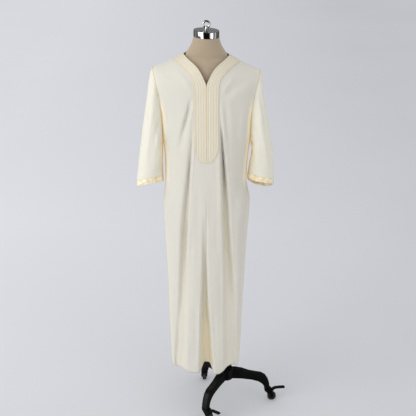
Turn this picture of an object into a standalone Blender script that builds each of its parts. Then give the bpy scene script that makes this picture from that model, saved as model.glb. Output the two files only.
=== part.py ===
"""An embroidered robe on a limbless dress form with a rolling tripod stand.

Metres, +Z up. The robe's front faces -Y. Left and right are the wearer's, so the wearer's left is at +X.
Shapes are worked out round the neck's axis (x = 0, y = 0, floor at z = 0), and the last step moves all of
them so that the middle of the whole object's base is the origin.
"""

import math

import bmesh
import bpy
import numpy as np

# Moves the neck's axis to where it stands in the finished frame.
FRAME_SHIFT = (-0.0300, -0.0134, 0.0)

# Cloth thicknesses, and the gaps left where two pieces meet.
CLOTH = 0.002
PLASTRON_CLOTH = 0.001
BRAID = 0.001
LAYER_GAP = 0.0003
SEAM_GAP = 0.0004

# How finely a row of cloth is measured, and how far apart two points are when a slope is taken.
WALK_STEPS = 241
SLOPE_STEP = 0.0006

# The shoulders: the right one stands a little higher than the left, and the neck cap leans a little more.
DROOP_BY_HEIGHT = (
    # height, fall in z for each metre towards the wearer's left
    (1.150, 0.0),
    (1.450, 0.0286),
    (1.560, 0.0286),
    (1.620, 0.050),
)

# The line along the top of the shoulders, under the robe's shoulder seams.
RIDGE = (
    # distance from the middle, height, drop over which the cloth turns from flat to hanging
    (0.0, 1.595, 0.150),
    (0.030, 1.588, 0.148),
    (0.060, 1.573, 0.142),
    (0.0875, 1.557, 0.135),
    (0.130, 1.535, 0.120),
    (0.2095, 1.501, 0.075),
    (0.260, 1.480, 0.060),
)
RIDGE_Y = 0.010
SHOULDER_TIP = 0.2095
SHOULDER_TIP_HEIGHT = 1.501
NECK_SIDE = 0.0875

# The robe without its folds, from the hem up. Above the underarm, the side is the armhole's edge.
BODY = (
    # height, right side's x, left side's x, front's y, back's y
    (0.170, 0.144, 0.134, -0.068, 0.096),
    (0.250, 0.151, 0.142, -0.073, 0.098),
    (0.400, 0.156, 0.147, -0.081, 0.100),
    (0.590, 0.160, 0.156, -0.091, 0.102),
    (0.770, 0.167, 0.164, -0.101, 0.105),
    (0.950, 0.173, 0.175, -0.110, 0.107),
    (1.050, 0.164, 0.160, -0.113, 0.106),
    (1.130, 0.165, 0.164, -0.115, 0.105),
    (1.215, 0.172, 0.173, -0.116, 0.103),
    (1.300, 0.174, 0.175, -0.115, 0.101),
    (1.375, 0.181, 0.181, -0.114, 0.099),
    (1.455, 0.196, 0.196, -0.110, 0.095),
    (1.501, 0.2095, 0.2095, -0.110, 0.092),
)
SQUARENESS = 2.25
SIDE_Y = 0.005

# Above the underarm, the line between front and back moves from SIDE_Y to RIDGE_Y over this height.
SIDE_TO_RIDGE = 0.16

# The armhole is a long oval. Its half depth holds down to ARMHOLE_ROUND and closes at the underarm.
UNDERARM = 1.215
ARMHOLE_ROUND = 1.370
ARMHOLE_DEPTH = 0.058
ARMHOLE_BELOW_TIP = 0.0003

# Folds: each pushes the cloth inwards (or outwards, where the depth is negative) along a line.
FRONT_PLEATS = (
    (
        # the deep pleat in the middle: height, x, depth, half width
        (0.930, -0.006, 0.0, 0.012),
        (0.730, -0.007, 0.016, 0.014),
        (0.540, -0.007, 0.040, 0.021),
        (0.390, -0.004, 0.064, 0.028),
        (0.170, 0.002, 0.096, 0.037),
    ),
    (
        # the pleat below the plastron's left edge
        (1.315, 0.058, 0.0, 0.010),
        (1.170, 0.065, 0.013, 0.014),
        (1.030, 0.073, 0.025, 0.017),
        (0.860, 0.080, 0.033, 0.021),
        (0.620, 0.096, 0.036, 0.026),
        (0.400, 0.099, 0.034, 0.030),
        (0.170, 0.104, 0.034, 0.034),
    ),
    (
        # the pleat below the plastron's right edge
        (1.250, -0.052, 0.0, 0.010),
        (1.120, -0.066, 0.011, 0.013),
        (0.950, -0.080, 0.020, 0.017),
        (0.810, -0.089, 0.026, 0.020),
        (0.390, -0.106, 0.034, 0.025),
        (0.170, -0.126, 0.046, 0.033),
    ),
    (
        # the slanting fold on the right side of the chest
        (1.420, -0.056, 0.0, 0.012),
        (1.360, -0.068, 0.006, 0.014),
        (1.280, -0.086, 0.008, 0.016),
        (1.180, -0.108, 0.0, 0.016),
    ),
    (
        # a soft swell on the left hip
        (1.050, 0.132, 0.0, 0.018),
        (0.850, 0.134, -0.007, 0.020),
        (0.500, 0.136, -0.007, 0.018),
        (0.300, 0.132, 0.0, 0.016),
    ),
)
BACK_PLEATS = (
    (
        # left of the middle of the back: height, x, depth, half width
        (1.320, 0.030, 0.0, 0.014),
        (1.120, 0.036, 0.010, 0.018),
        (0.850, 0.043, 0.022, 0.023),
        (0.500, 0.050, 0.030, 0.028),
        (0.170, 0.056, 0.036, 0.032),
    ),
    (
        # right of the middle of the back
        (1.260, -0.042, 0.0, 0.014),
        (1.050, -0.050, 0.010, 0.019),
        (0.800, -0.058, 0.024, 0.024),
        (0.450, -0.066, 0.033, 0.029),
        (0.170, -0.072, 0.040, 0.033),
    ),
    (
        # towards the left side
        (1.000, 0.116, 0.0, 0.014),
        (0.700, 0.118, 0.012, 0.019),
        (0.170, 0.112, 0.020, 0.023),
    ),
    (
        # towards the right side
        (0.900, -0.124, 0.0, 0.014),
        (0.600, -0.124, 0.010, 0.018),
        (0.170, -0.124, 0.018, 0.022),
    ),
)
FOLD_SOFTNESS = 0.72
FOLDS_STOP_AT_SIDE = 0.018

# How the hem rises and falls along the front.
FRONT_HEM = (
    # x, height
    (-0.150, 0.187),
    (-0.100, 0.184),
    (-0.068, 0.177),
    (-0.030, 0.178),
    (0.000, 0.182),
    (0.030, 0.172),
    (0.060, 0.170),
    (0.080, 0.190),
    (0.100, 0.197),
    (0.140, 0.188),
)
BACK_HEM = 0.192
HEM_NOMINAL = 0.180
HEM_SHAPED_BELOW = 0.420

# Rows of the front panel. Down to the plastron's tip, they cross its band from the inner edge to its border.
FRONT_ROWS = (
    # inner edge x, inner edge z, border x, border z, side z, bow of the band
    (0.0875, 1.5570, 0.1305, 1.5348, 1.501, 1.0),
    (0.0800, 1.5545, 0.1220, 1.5333, 1.4965, 1.0),
    (0.0655, 1.5465, 0.1050, 1.5280, 1.481, 1.0),
    (0.0475, 1.5362, 0.0845, 1.5150, 1.458, 1.0),
    (0.0335, 1.5242, 0.0675, 1.5005, 1.433, 1.0),
    (0.0225, 1.5095, 0.0560, 1.4850, 1.406, 1.0),
    (0.0112, 1.4880, 0.0505, 1.4650, 1.376, 1.0),
    (0.0000, 1.4555, 0.0480, 1.4410, 1.343, 1.2),
    (0.0000, 1.3950, 0.0475, 1.4000, 1.305, 2.0),
    (0.0000, 1.3320, 0.0475, 1.3520, 1.263, 2.6),
    (0.0000, 1.2720, 0.0475, 1.3020, 1.215, 2.8),
    (0.0000, 1.2120, 0.0475, 1.2530, 1.192, 2.8),
    (0.0000, 1.1600, 0.0475, 1.2130, 1.1735, 2.8),
    (0.0000, 1.1590, 0.0475, 1.2120, 1.1725, 2.8),
    (0.0000, 1.1530, 0.0475, 1.2060, 1.164, 2.8),
    (0.0000, 1.1020, 0.0495, 1.1380, 1.110, 2.4),
    (0.0000, 1.0430, 0.0530, 1.0640, 1.050, 2.0),
    (0.0000, 0.9700, 0.0580, 0.9780, 0.970, 2.0),
)
LOWER_ROWS = (0.890, 0.810, 0.730, 0.645, 0.560, 0.475, 0.390, 0.305, 0.235, HEM_NOMINAL)
SLIT_ROW = 7
TIP_ROW = 14
BAND_COLUMNS = (0.0, 0.10, 0.37, 0.64, 0.90, 1.0)
PLEAT_COLUMNS = 4
SIDE_COLUMNS = 8
PLEAT_SHARE = 0.30

# The back panel: columns along the neckline and the shoulder seam, then rows down to the hem.
BACK_TOP = (0.0, 0.024, 0.047, 0.068, 0.0875, 0.109, 0.1305, 0.146, 0.162, 0.178, 0.194, 0.2095)
BACK_BAND_COLUMN = 6
BACK_BAND_SHARES = (0.0, 0.38, 1.0)
BACK_BAND_ROW = len(BACK_BAND_SHARES) - 1
BACK_NECK_DROP = 0.048
BACK_BAND_LOW = 1.511
BACK_BAND_RISE = 0.0098
BACK_BAND_BOW = 2.2
BACK_SHOULDER_DEPTH = 0.014
BACK_ROWS = (
    # height in the middle, height at the side, how level the row is
    (1.470, 1.458, 0.45),
    (1.425, 1.415, 0.80),
    (1.365, 1.360, 1.0),
    (1.300, 1.300, 1.0),
    (1.235, 1.250, 1.0),
    (1.180, 1.215, 1.0),
    (1.110, 1.130, 1.0),
    (1.040, 1.050, 1.0),
    (0.950, 0.955, 1.0),
    (0.860, 0.860, 1.0),
    (0.760, 0.760, 1.0),
    (0.660, 0.660, 1.0),
    (0.550, 0.550, 1.0),
    (0.440, 0.440, 1.0),
    (0.330, 0.330, 1.0),
    (0.250, 0.250, 1.0),
    (BACK_HEM, BACK_HEM, 1.0),
)

# Sleeves: two lines in the front view, from the shoulder tip and from the underarm down to the cuff.
SLEEVE_RIGHT = (
    # share of the way down, outer x, outer z, inner x, inner z, front's y, back's y
    (0.00, 0.2095, 1.501, 0.172, 1.215, -0.053, 0.063),
    (0.12, 0.2205, 1.470, 0.1755, 1.196, -0.068, 0.068),
    (0.33, 0.2345, 1.378, 0.1770, 1.166, -0.075, 0.074),
    (0.58, 0.2530, 1.255, 0.1775, 1.130, -0.072, 0.075),
    (0.82, 0.2710, 1.130, 0.1780, 1.090, -0.065, 0.071),
    (1.00, 0.2815, 1.036, 0.1775, 1.058, -0.059, 0.063),
    (1.08, 0.2835, 1.013, 0.1770, 1.035, -0.057, 0.060),
)
SLEEVE_LEFT = (
    (0.00, 0.2095, 1.501, 0.173, 1.215, -0.053, 0.063),
    (0.12, 0.2175, 1.466, 0.1800, 1.200, -0.068, 0.068),
    (0.33, 0.2330, 1.360, 0.1840, 1.178, -0.075, 0.074),
    (0.58, 0.2545, 1.245, 0.1820, 1.150, -0.072, 0.075),
    (0.82, 0.2680, 1.128, 0.1750, 1.114, -0.065, 0.071),
    (1.00, 0.2715, 1.050, 0.1700, 1.074, -0.059, 0.063),
    (1.08, 0.2715, 1.027, 0.1690, 1.051, -0.057, 0.060),
)
SLEEVE_TILT = (
    # side, rise towards the front, fall towards the back, for each metre of depth
    (-1, 0.33, 0.36),
    (1, 0.20, 0.80),
)
SLEEVE_ROUND = 24
SLEEVE_RINGS = 11
SLEEVE_SQUARENESS = 2.3
CUFF_RINGS = 1
CUFF_GAP_SHARE = 0.0020
CUFF_END_SHARE = 1.08

# The sleeve keeps the armhole's shape less and less down to the first share, and its rings tilt more and more
# from the second. Its rings lie closer together near the armhole.
SLEEVE_HOLD = 0.30
TILT_FROM = 0.35
RING_CROWDING = 1.15
SLEEVE_SLOPE_STEP = 0.004

# The form: smooth, a little smaller than the robe everywhere, and resting against it along the shoulders.
FORM_UNDER_RIDGE = 0.0024
FORM_TURN = 0.95
FORM_TURN_FROM = 1.33
FORM_SQUARENESS = 2.15
FORM_BOTTOM = 0.870
FORM_SECTIONS = (
    # height, half width, front's y, back's y
    (0.870, 0.137, -0.066, 0.070),
    (0.876, 0.143, -0.071, 0.076),
    (0.900, 0.148, -0.075, 0.082),
    (0.960, 0.150, -0.077, 0.086),
    (1.030, 0.144, -0.075, 0.082),
    (1.100, 0.140, -0.078, 0.079),
    (1.180, 0.146, -0.088, 0.084),
    (1.260, 0.155, -0.097, 0.089),
    (1.330, 0.164, -0.101, 0.089),
    (1.400, 0.176, -0.099, 0.086),
    (1.440, 0.186, -0.097, 0.084),
    (1.470, 0.193, -0.096, 0.082),
    (1.488, 0.196, -0.096, 0.081),
)
FORM_RIDGE_RINGS = (1.500, 1.508, 1.516, 1.524, 1.532, 1.540, 1.548)
NECK = (
    # height, half width, front's y, back's y
    (1.5545, 0.0828, -0.050, 0.051),
    (1.568, 0.0740, -0.0505, 0.050),
    (1.584, 0.0635, -0.050, 0.0495),
    (1.604, 0.0550, -0.0495, 0.0495),
    (1.6292, 0.0498, -0.0498, 0.0498),
)
FORM_ROUND = 28

# The chrome cap on the neck, with its hanging ring.
CAP_BOTTOM = 1.6295
CAP_TOP = 1.655
CAP_RADIUS = 0.050
CAP_EDGE = 0.0015
CAP_LEAN = 0.050
RING_RADIUS = 0.0122
RING_WIRE = 0.0038
RING_STEM = 0.0055
RING_STEM_HEIGHT = 0.012
RING_FOOT = 0.00935
RING_FOOT_EDGE = 0.003
RING_FOOT_HEIGHT = 0.004

# The stand. Its pole goes up into the left half of the form.
STAND_X = 0.085
STAND_Y = 0.004
UPPER_POLE_RADIUS = 0.011
UPPER_POLE_BOTTOM = 0.215
TUBE_RADIUS = 0.016
TUBE_BORE = 0.01135
TUBE_BOTTOM = 0.118
TUBE_TOP = 0.600
SOCKET_RADIUS = 0.019
SOCKET_BORE = 0.0113
SOCKET_HEIGHT = 0.034
SOCKET_PLATE_RADIUS = 0.034
SOCKET_PLATE = 0.004
HUB_BOTTOM = 0.113
HUB_TOP = 0.162
HUB_RADIUS = 0.033
COLLAR_RADIUS = 0.024
COLLAR_TOP = 0.184
HUB_BORE = 0.0163
HUB_FLOOR = 0.1176
SCREW_ANGLE = -52.0
SCREW_HEIGHT = 0.1735
SCREW_START = 0.0243
SCREW_SHANK = 0.0045
SCREW_SHANK_LENGTH = 0.010
SCREW_HEAD = 0.0085
SCREW_HEAD_LENGTH = 0.010

LEG_WIDTH = 0.030
LEG_BEVEL = 0.0055
LEG_OUTLINE = (
    # distance from the pole's axis, height
    (0.012, 0.161),
    (0.040, 0.1625),
    (0.070, 0.156),
    (0.100, 0.1445),
    (0.130, 0.138),
    (0.155, 0.1335),
    (0.172, 0.123),
    (0.184, 0.104),
    (0.1915, 0.082),
    (0.194, 0.060),
    (0.170, 0.060),
    (0.167, 0.074),
    (0.158, 0.086),
    (0.140, 0.098),
    (0.112, 0.106),
    (0.070, 0.112),
    (0.040, 0.1135),
    (0.012, 0.1145),
)
STEM_REACH = 0.182

# Castors, each turned as it stands on the floor.
CASTORS = (
    # name, leg's angle, angle that the wheel trails towards
    ("left", 1.0, 1.0),
    ("front", -119.0, -42.0),
    ("back", 121.0, 96.0),
)
TRAIL = 0.021
WHEEL_RADIUS = 0.019
WHEEL_WIDTH = 0.016
WHEEL_HUB_RADIUS = 0.007
WHEEL_HUB_WIDTH = 0.0192
WHEEL_SIDES = 24
FORK_TOP = 0.0597
FORK_WIDTH = 0.027
FORK_SLOT = 0.0198
FORK_SLOT_LENGTH = 0.10
FORK_OUTLINE = (
    # distance along the trail, height
    (-0.013, FORK_TOP),
    (0.014, FORK_TOP),
    (0.0205, 0.054),
    (0.029, 0.030),
    (0.030, 0.019),
    (0.026, 0.0125),
    (0.019, 0.011),
    (0.0135, 0.015),
    (0.008, 0.030),
    (-0.011, 0.050),
)
FORK_SLOT_TOP = 0.0465
LEVER_PIVOT = (0.0258, 0.0460)
LEVER_WIDTH = 0.013
LEVER_OUTLINE = (
    # distance along the trail, height
    (0.0239, 0.0455),
    (0.0216, 0.0520),
    (0.0225, 0.0575),
    (0.0300, 0.0615),
    (0.0380, 0.0640),
    (0.0700, 0.0665),
    (0.0780, 0.0650),
    (0.0790, 0.0605),
    (0.0745, 0.0585),
    (0.0400, 0.0560),
    (0.0320, 0.0520),
    (0.0290, 0.0455),
)


def between(rows, value, column, key=0):
    """The value of one column of a table, at a place between its rows."""
    return np.interp(value, [row[key] for row in rows], [row[column] for row in rows])


def eased(share):
    share = np.clip(share, 0.0, 1.0)
    return share * share * (3.0 - 2.0 * share)


def drooped(points):
    """Lowers what is on the wearer's left and raises what is on the right, near the shoulders."""
    moved = np.array(points, float)
    moved[..., 2] -= between(DROOP_BY_HEIGHT, moved[..., 2], 1) * moved[..., 0]
    return moved


def side_of(x, z):
    """How far out the robe's side is, at this height on the side that x is on."""
    return np.where(np.asarray(x) < 0, between(BODY, z, 1), between(BODY, z, 2))


def over_shoulder(x, z, lower=0.0):
    """0 on the shoulder's ridge, growing to 1 where the cloth hangs straight."""
    reach = np.abs(x)
    share = (between(RIDGE, reach, 1) - lower - z) / between(RIDGE, reach, 2)
    return np.sqrt(np.clip(1.0 - (1.0 - np.clip(share, 1e-4, 1.0)) ** 2, 0.0, 1.0))


def armhole_depth(z):
    share = np.clip((ARMHOLE_ROUND - z) / (ARMHOLE_ROUND - UNDERARM), 0.0, 1.0)
    return ARMHOLE_DEPTH * np.sqrt(1.0 - share**2)


def fold_push(x, z, folds):
    total = np.zeros(np.broadcast(x, z).shape)
    for rows in folds:
        rows = rows[::-1]
        away = np.abs(x - between(rows, z, 1)) / between(rows, z, 3)
        total = total + between(rows, z, 2) * eased((1.0 - away) / FOLD_SOFTNESS)
    room = eased((side_of(x, z) - np.abs(x)) / FOLDS_STOP_AT_SIDE)
    return total * room


def robe_y(x, z, facing):
    """The y of the robe's inner face: facing is -1 for the front and 1 for the back."""
    x = np.asarray(x, float)
    z = np.asarray(z, float)
    column = 3 if facing < 0 else 4
    depth = np.abs(between(BODY, z, column) - SIDE_Y)
    closing = np.clip(1.0 - (np.abs(x) / side_of(x, z)) ** SQUARENESS, 0.0, 1.0)
    opening = armhole_depth(z)
    deep = np.sqrt(opening**2 + (depth**2 - opening**2) * closing ** (2.0 / SQUARENESS))
    turn = over_shoulder(x, z)
    rest = SIDE_Y + (RIDGE_Y - SIDE_Y) * eased((z - UNDERARM) / SIDE_TO_RIDGE)
    folds = FRONT_PLEATS if facing < 0 else BACK_PLEATS
    return rest + facing * (deep * turn - fold_push(x, z, folds))


def robe_normal(x, z, facing):
    """The direction out of the cloth, from how y changes along x and z."""
    step = SLOPE_STEP
    reach = side_of(x, z) - 2 * step
    x = np.where(z < UNDERARM, np.clip(x, -reach, reach), x)
    z = np.minimum(z, between(RIDGE, np.abs(x), 1) - 2 * step)
    along_x = (robe_y(x + step, z, facing) - robe_y(x - step, z, facing)) / (2 * step)
    along_z = (robe_y(x, z + step, facing) - robe_y(x, z - step, facing)) / (2 * step)
    out = np.stack([-facing * along_x, facing * np.ones_like(along_x), -facing * along_z], -1)
    return out / np.linalg.norm(out, axis=-1, keepdims=True)


def walked_row(x_from, x_to, z_at, facing):
    """Fine steps along a row: x, share of the way across, and share of the length of cloth."""
    fine = np.linspace(x_from, x_to, WALK_STEPS)
    bend = np.linspace(0.0, 1.0, WALK_STEPS)
    height = z_at(bend)
    points = np.stack([fine, robe_y(fine, height, facing), height], -1)
    walked = np.concatenate([[0.0], np.cumsum(np.linalg.norm(np.diff(points, axis=0), axis=1))])
    return fine, bend, walked / walked[-1]


def evenly_along(x_from, x_to, z_at, facing, shares):
    """x at these shares of the length of cloth between two x, on the row whose height is z_at(x)."""
    fine, bend, walked = walked_row(x_from, x_to, z_at, facing)
    return np.interp(shares, walked, fine), np.interp(shares, walked, bend)


def share_at(x, x_from, x_to, z_at):
    """The share of the front's cloth, between two x, that lies before this x."""
    fine, _, walked = walked_row(x_from, x_to, z_at, -1)
    return float(np.interp(abs(x), np.abs(fine), walked))


def past_border(pleat_share):
    """Shares from the band's border out: evenly up to the pleat's line, then evenly to the side."""
    near = np.linspace(0.0, pleat_share, PLEAT_COLUMNS + 1)[1:]
    far = np.linspace(pleat_share, 1.0, SIDE_COLUMNS + 1)[1:]
    return np.concatenate([near, far])


def front_half(side):
    """Rows of (x, z) from the neckline's edge or the middle, out to the armhole or the side seam."""
    band = np.array(BAND_COLUMNS)
    even = np.linspace(0.0, 1.0, len(band))
    pleat = FRONT_PLEATS[1 if side > 0 else 2][::-1]
    slit_z = FRONT_ROWS[SLIT_ROW][3]
    tip_z = FRONT_ROWS[TIP_ROW][3]
    rows = []
    band_share = None
    for index, (edge_x, edge_z, border_x, border_z, side_z, bow) in enumerate(FRONT_ROWS):
        relax = eased((index - TIP_ROW) / (len(FRONT_ROWS) - TIP_ROW))
        columns = band * (1 - relax) + even * relax
        x_band = side * (edge_x + (border_x - edge_x) * columns)
        z_band = edge_z + (border_z - edge_z) * columns**bow
        side_x = side * side_of(side, side_z)

        def height(bend, border_z=border_z, side_z=side_z):
            return border_z + (side_z - border_z) * bend

        pleat_x = between(pleat, height(PLEAT_SHARE), 1)
        at_pleat = share_at(pleat_x, side * border_x, side_x, height)
        near = eased((slit_z - border_z) / (slit_z - tip_z))
        at_pleat = PLEAT_SHARE * (1 - near) + at_pleat * near
        outward = past_border(at_pleat)
        x_out, bend = evenly_along(side * border_x, side_x, height, -1, outward)
        rows.append((np.concatenate([x_band, x_out]), np.concatenate([z_band, height(bend)])))
        band_share = band_length_share(rows[-1][0], rows[-1][1], len(band) - 1)
    for z_row in LOWER_ROWS:
        side_x = side * side_of(side, z_row)

        def level(bend, z_row=z_row):
            return z_row + 0.0 * bend

        at_pleat = share_at(between(pleat, z_row, 1), 0.0, side_x, level)
        outward = past_border((at_pleat - band_share) / (1 - band_share))
        shares = np.concatenate([even * band_share, band_share + (1 - band_share) * outward])
        x_row, _ = evenly_along(0.0, side_x, level, -1, shares)
        shaping = eased((HEM_SHAPED_BELOW - z_row) / (HEM_SHAPED_BELOW - HEM_NOMINAL))
        z_shaped = z_row + (between(FRONT_HEM, x_row, 1) - HEM_NOMINAL) * shaping
        rows.append((x_row * side_of(side, z_shaped) / side_of(side, z_row), z_shaped))
    return rows


def band_length_share(x_row, z_row, border):
    """How much of a row's length of cloth is in the band."""
    points = np.stack([x_row, robe_y(x_row, z_row, -1), z_row], -1)
    steps = np.linalg.norm(np.diff(points, axis=0), axis=1)
    return steps[:border].sum() / steps.sum()


def front_surface():
    """Points and outward directions of the front panel, from the right side to the left."""
    halves = {side: front_half(side) for side in (-1, 1)}
    grids = []
    for side in (-1, 1):
        x_all = np.array([row[0] for row in halves[side]])
        z_all = np.array([row[1] for row in halves[side]])
        grids.append(seamed(x_all, z_all, -1))
    right, left = grids
    points = np.concatenate([right[0][:, ::-1], left[0]], axis=1)
    normals = np.concatenate([right[1][:, ::-1], left[1]], axis=1)
    return points, normals


def seamed(x_all, z_all, facing):
    """3-D points of a panel's grid, drawn back a little from the seams at its sides and shoulders."""
    y_all = robe_y(x_all, z_all, facing)
    normals = robe_normal(x_all, z_all, facing)
    points = np.stack([x_all, y_all, z_all], -1)
    at_side = np.zeros(x_all.shape, bool)
    at_side[:, -1] = True
    sewn_side = at_side & (z_all <= UNDERARM + 1e-6)
    sewn_armhole = at_side & ~sewn_side
    points[..., 1] += np.where(sewn_side, facing * SEAM_GAP / 2, 0.0)
    points[..., 0] -= np.where(sewn_armhole, np.sign(x_all) * SEAM_GAP / 2, 0.0)
    on_ridge = np.abs(z_all - between(RIDGE, np.abs(x_all), 1)) < 1e-4
    points[..., 1] += np.where(on_ridge, facing * SEAM_GAP / 2, 0.0)
    return drooped(points), normals


def back_half(side):
    """Rows of (x, z) of the back panel from its middle out to the armhole or the side seam."""
    top_x = np.array(BACK_TOP)
    share = np.linspace(0.0, 1.0, len(top_x))
    ridge = between(RIDGE, top_x, 1)
    dip = BACK_NECK_DROP * eased(1.0 - top_x / NECK_SIDE)
    top_z = np.where(top_x < NECK_SIDE, ridge - dip, ridge)
    bend = (top_x / BACK_TOP[BACK_BAND_COLUMN]) ** BACK_BAND_BOW
    band_z = BACK_BAND_LOW + BACK_BAND_RISE * bend
    low_z = np.where(top_x <= BACK_TOP[BACK_BAND_COLUMN], band_z, ridge - BACK_SHOULDER_DEPTH)
    rows = []
    for down in BACK_BAND_SHARES:
        z_row = top_z + (low_z - top_z) * down
        limit = side_of(side, z_row[-1])
        stretch = 1.0 + (limit / SHOULDER_TIP - 1.0) * eased((top_x - NECK_SIDE) / (SHOULDER_TIP - NECK_SIDE))
        rows.append((side * top_x * stretch, z_row))
    start_x = np.abs(rows[-1][0])
    start_z = rows[-1][1]
    for centre_z, side_z, level in BACK_ROWS:
        side_x = side_of(side, side_z)

        def height(bend, centre_z=centre_z, side_z=side_z):
            return centre_z + (side_z - centre_z) * bend

        x_even, bend = evenly_along(0.0, side * side_x, height, 1, share)
        x_start = side * start_x * side_x / start_x[-1]
        x_row = x_start * (1 - level) + x_even * level
        z_row = (start_z - start_z[0] + centre_z) * (1 - level) + height(bend) * level
        z_row[-1] = side_z
        x_row[-1] = side * side_x
        rows.append((x_row, z_row))
    return rows


def back_surface():
    grids = []
    for side in (-1, 1):
        rows = back_half(side)
        x_all = np.array([row[0] for row in rows])
        z_all = np.array([row[1] for row in rows])
        grids.append(seamed(x_all, z_all, 1))
    right, left = grids
    points = np.concatenate([right[0][:, :0:-1], left[0]], axis=1)
    normals = np.concatenate([right[1][:, :0:-1], left[1]], axis=1)
    return points, normals


def armhole_ring(side, turns):
    """The oval that the sleeve is sewn to: turn 0 is the shoulder tip, a half turn is the underarm."""
    points = []
    normals = []
    highest = SHOULDER_TIP_HEIGHT - ARMHOLE_BELOW_TIP
    for turn in turns:
        facing = -1 if turn < 0.5 else 1
        share = 1.0 - abs(1.0 - 2.0 * turn)
        drop = 0.5 - 0.5 * math.cos(math.pi * share)
        z = highest - (highest - UNDERARM) * drop
        x = side * float(side_of(side, z))
        points.append((x, float(robe_y(x, z, facing)), z))
        normals.append(robe_normal(np.array(x), np.array(z), facing))
    return np.array(points), np.array(normals)


def sleeve_ring(side, share, turns):
    """One ring of the hanging sleeve, at this share of the way from the shoulder to the cuff."""
    rows = SLEEVE_RIGHT if side < 0 else SLEEVE_LEFT
    outer = np.array([side * between(rows, share, 1), 0.0, between(rows, share, 2)])
    inner = np.array([side * between(rows, share, 3), 0.0, between(rows, share, 4)])
    angle = 2.0 * np.pi * np.asarray(turns)
    across = np.sign(np.cos(angle)) * np.abs(np.cos(angle)) ** (2.0 / SLEEVE_SQUARENESS)
    deep = np.sign(np.sin(angle)) * np.abs(np.sin(angle)) ** (2.0 / SLEEVE_SQUARENESS)
    middle = (outer + inner) / 2.0
    points = middle + (outer - inner) / 2.0 * across[:, None]
    front = between(rows, share, 5) - SIDE_Y
    back = between(rows, share, 6) - SIDE_Y
    y = np.where(deep > 0, front * deep, -back * deep)
    points[:, 1] = SIDE_Y + y
    _, rise, fall = SLEEVE_TILT[0] if side < 0 else SLEEVE_TILT[1]
    tilting = eased((share - TILT_FROM) / (1.0 - TILT_FROM))
    points[:, 2] -= np.where(y < 0, rise * y, fall * y) * tilting
    return points


def sleeve_point_grid(side, shares):
    """Rings of points down the sleeve: the first follows the armhole, and the rest ease away from it."""
    turns = np.arange(SLEEVE_ROUND) / SLEEVE_ROUND
    hole, hole_normals = armhole_ring(side, turns)
    first = sleeve_ring(side, 0.0, turns)
    grid = []
    for share in shares:
        ring = sleeve_ring(side, share, turns)
        hold = 1.0 - eased(share / SLEEVE_HOLD)
        grid.append(ring + (hole - first) * hold)
    return np.array(grid), hole_normals


def clear_of_panel(hole, hole_normals, sleeve_normals):
    """How far each point of the sleeve's top edge moves, so that its wall starts clear of the panel's."""
    along = np.roll(hole, -1, axis=0) - np.roll(hole, 1, axis=0)
    outward = np.cross(along, hole_normals)
    outward /= np.linalg.norm(outward, axis=-1, keepdims=True)
    outward *= np.sign(outward[:, :1] * hole[:, :1] + 1e-9)
    folded_back = (sleeve_normals * outward).sum(axis=-1, keepdims=True) < 0
    gap = SEAM_GAP * (outward + hole_normals)
    return gap + np.where(folded_back, CLOTH * (hole_normals - sleeve_normals), 0.0)


def sleeve_surface(side, shares, sewn_to_armhole):
    """Points and outward directions of the sleeve's rings at these shares of the way down."""
    step = SLEEVE_SLOPE_STEP
    grid, hole_normals = sleeve_point_grid(side, shares)
    ahead, _ = sleeve_point_grid(side, [share + step for share in shares])
    behind, _ = sleeve_point_grid(side, [max(share - step, 0.0) for share in shares])
    down = ahead - behind
    around = np.roll(grid, -1, axis=1) - np.roll(grid, 1, axis=1)
    normals = np.cross(around, down) * side
    normals /= np.linalg.norm(normals, axis=-1, keepdims=True)
    if sewn_to_armhole:
        move = clear_of_panel(grid[0].copy(), hole_normals, normals[0])
        for index, share in enumerate(shares):
            grid[index] += move * (1.0 - eased(share / SLEEVE_HOLD))
    return drooped(grid), normals


def cloth_material(name, colour, roughness):
    return plain_material(name, colour, roughness, 0.0)


def plain_material(name, colour, roughness, metallic):
    made = bpy.data.materials.new(name)
    made.use_nodes = True
    shader = made.node_tree.nodes["Principled BSDF"]
    shader.inputs["Base Color"].default_value = (*colour, 1.0)
    shader.inputs["Roughness"].default_value = roughness
    shader.inputs["Metallic"].default_value = metallic
    made.diffuse_color = (*colour, 1.0)
    return made


def placed(name, mesh, material, collection):
    made = bpy.data.objects.new(name, mesh)
    made.data.materials.clear()
    made.data.materials.append(material)
    collection.objects.link(made)
    return made


def grid_faces(bm, points, normals, closed, keep):
    """Fills a bmesh with the grid's kept faces, and stores the outward directions on its vertices."""
    rows, columns = points.shape[:2]
    out = bm.verts.layers.float_vector.new("out")
    verts = []
    for row in range(rows):
        line = []
        for column in range(columns):
            vert = bm.verts.new(points[row, column])
            vert[out] = normals[row, column]
            line.append(vert)
        verts.append(line)
    last = columns if closed else columns - 1
    for row in range(rows - 1):
        for column in range(last):
            if not keep(row, column):
                continue
            beside = (column + 1) % columns
            corners = [verts[row][column], verts[row + 1][column]]
            corners += [verts[row + 1][beside], verts[row][beside]]
            bm.faces.new(corners)
    loose = [vert for vert in bm.verts if not vert.link_faces]
    bmesh.ops.delete(bm, geom=loose, context="VERTS")
    return out


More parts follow.
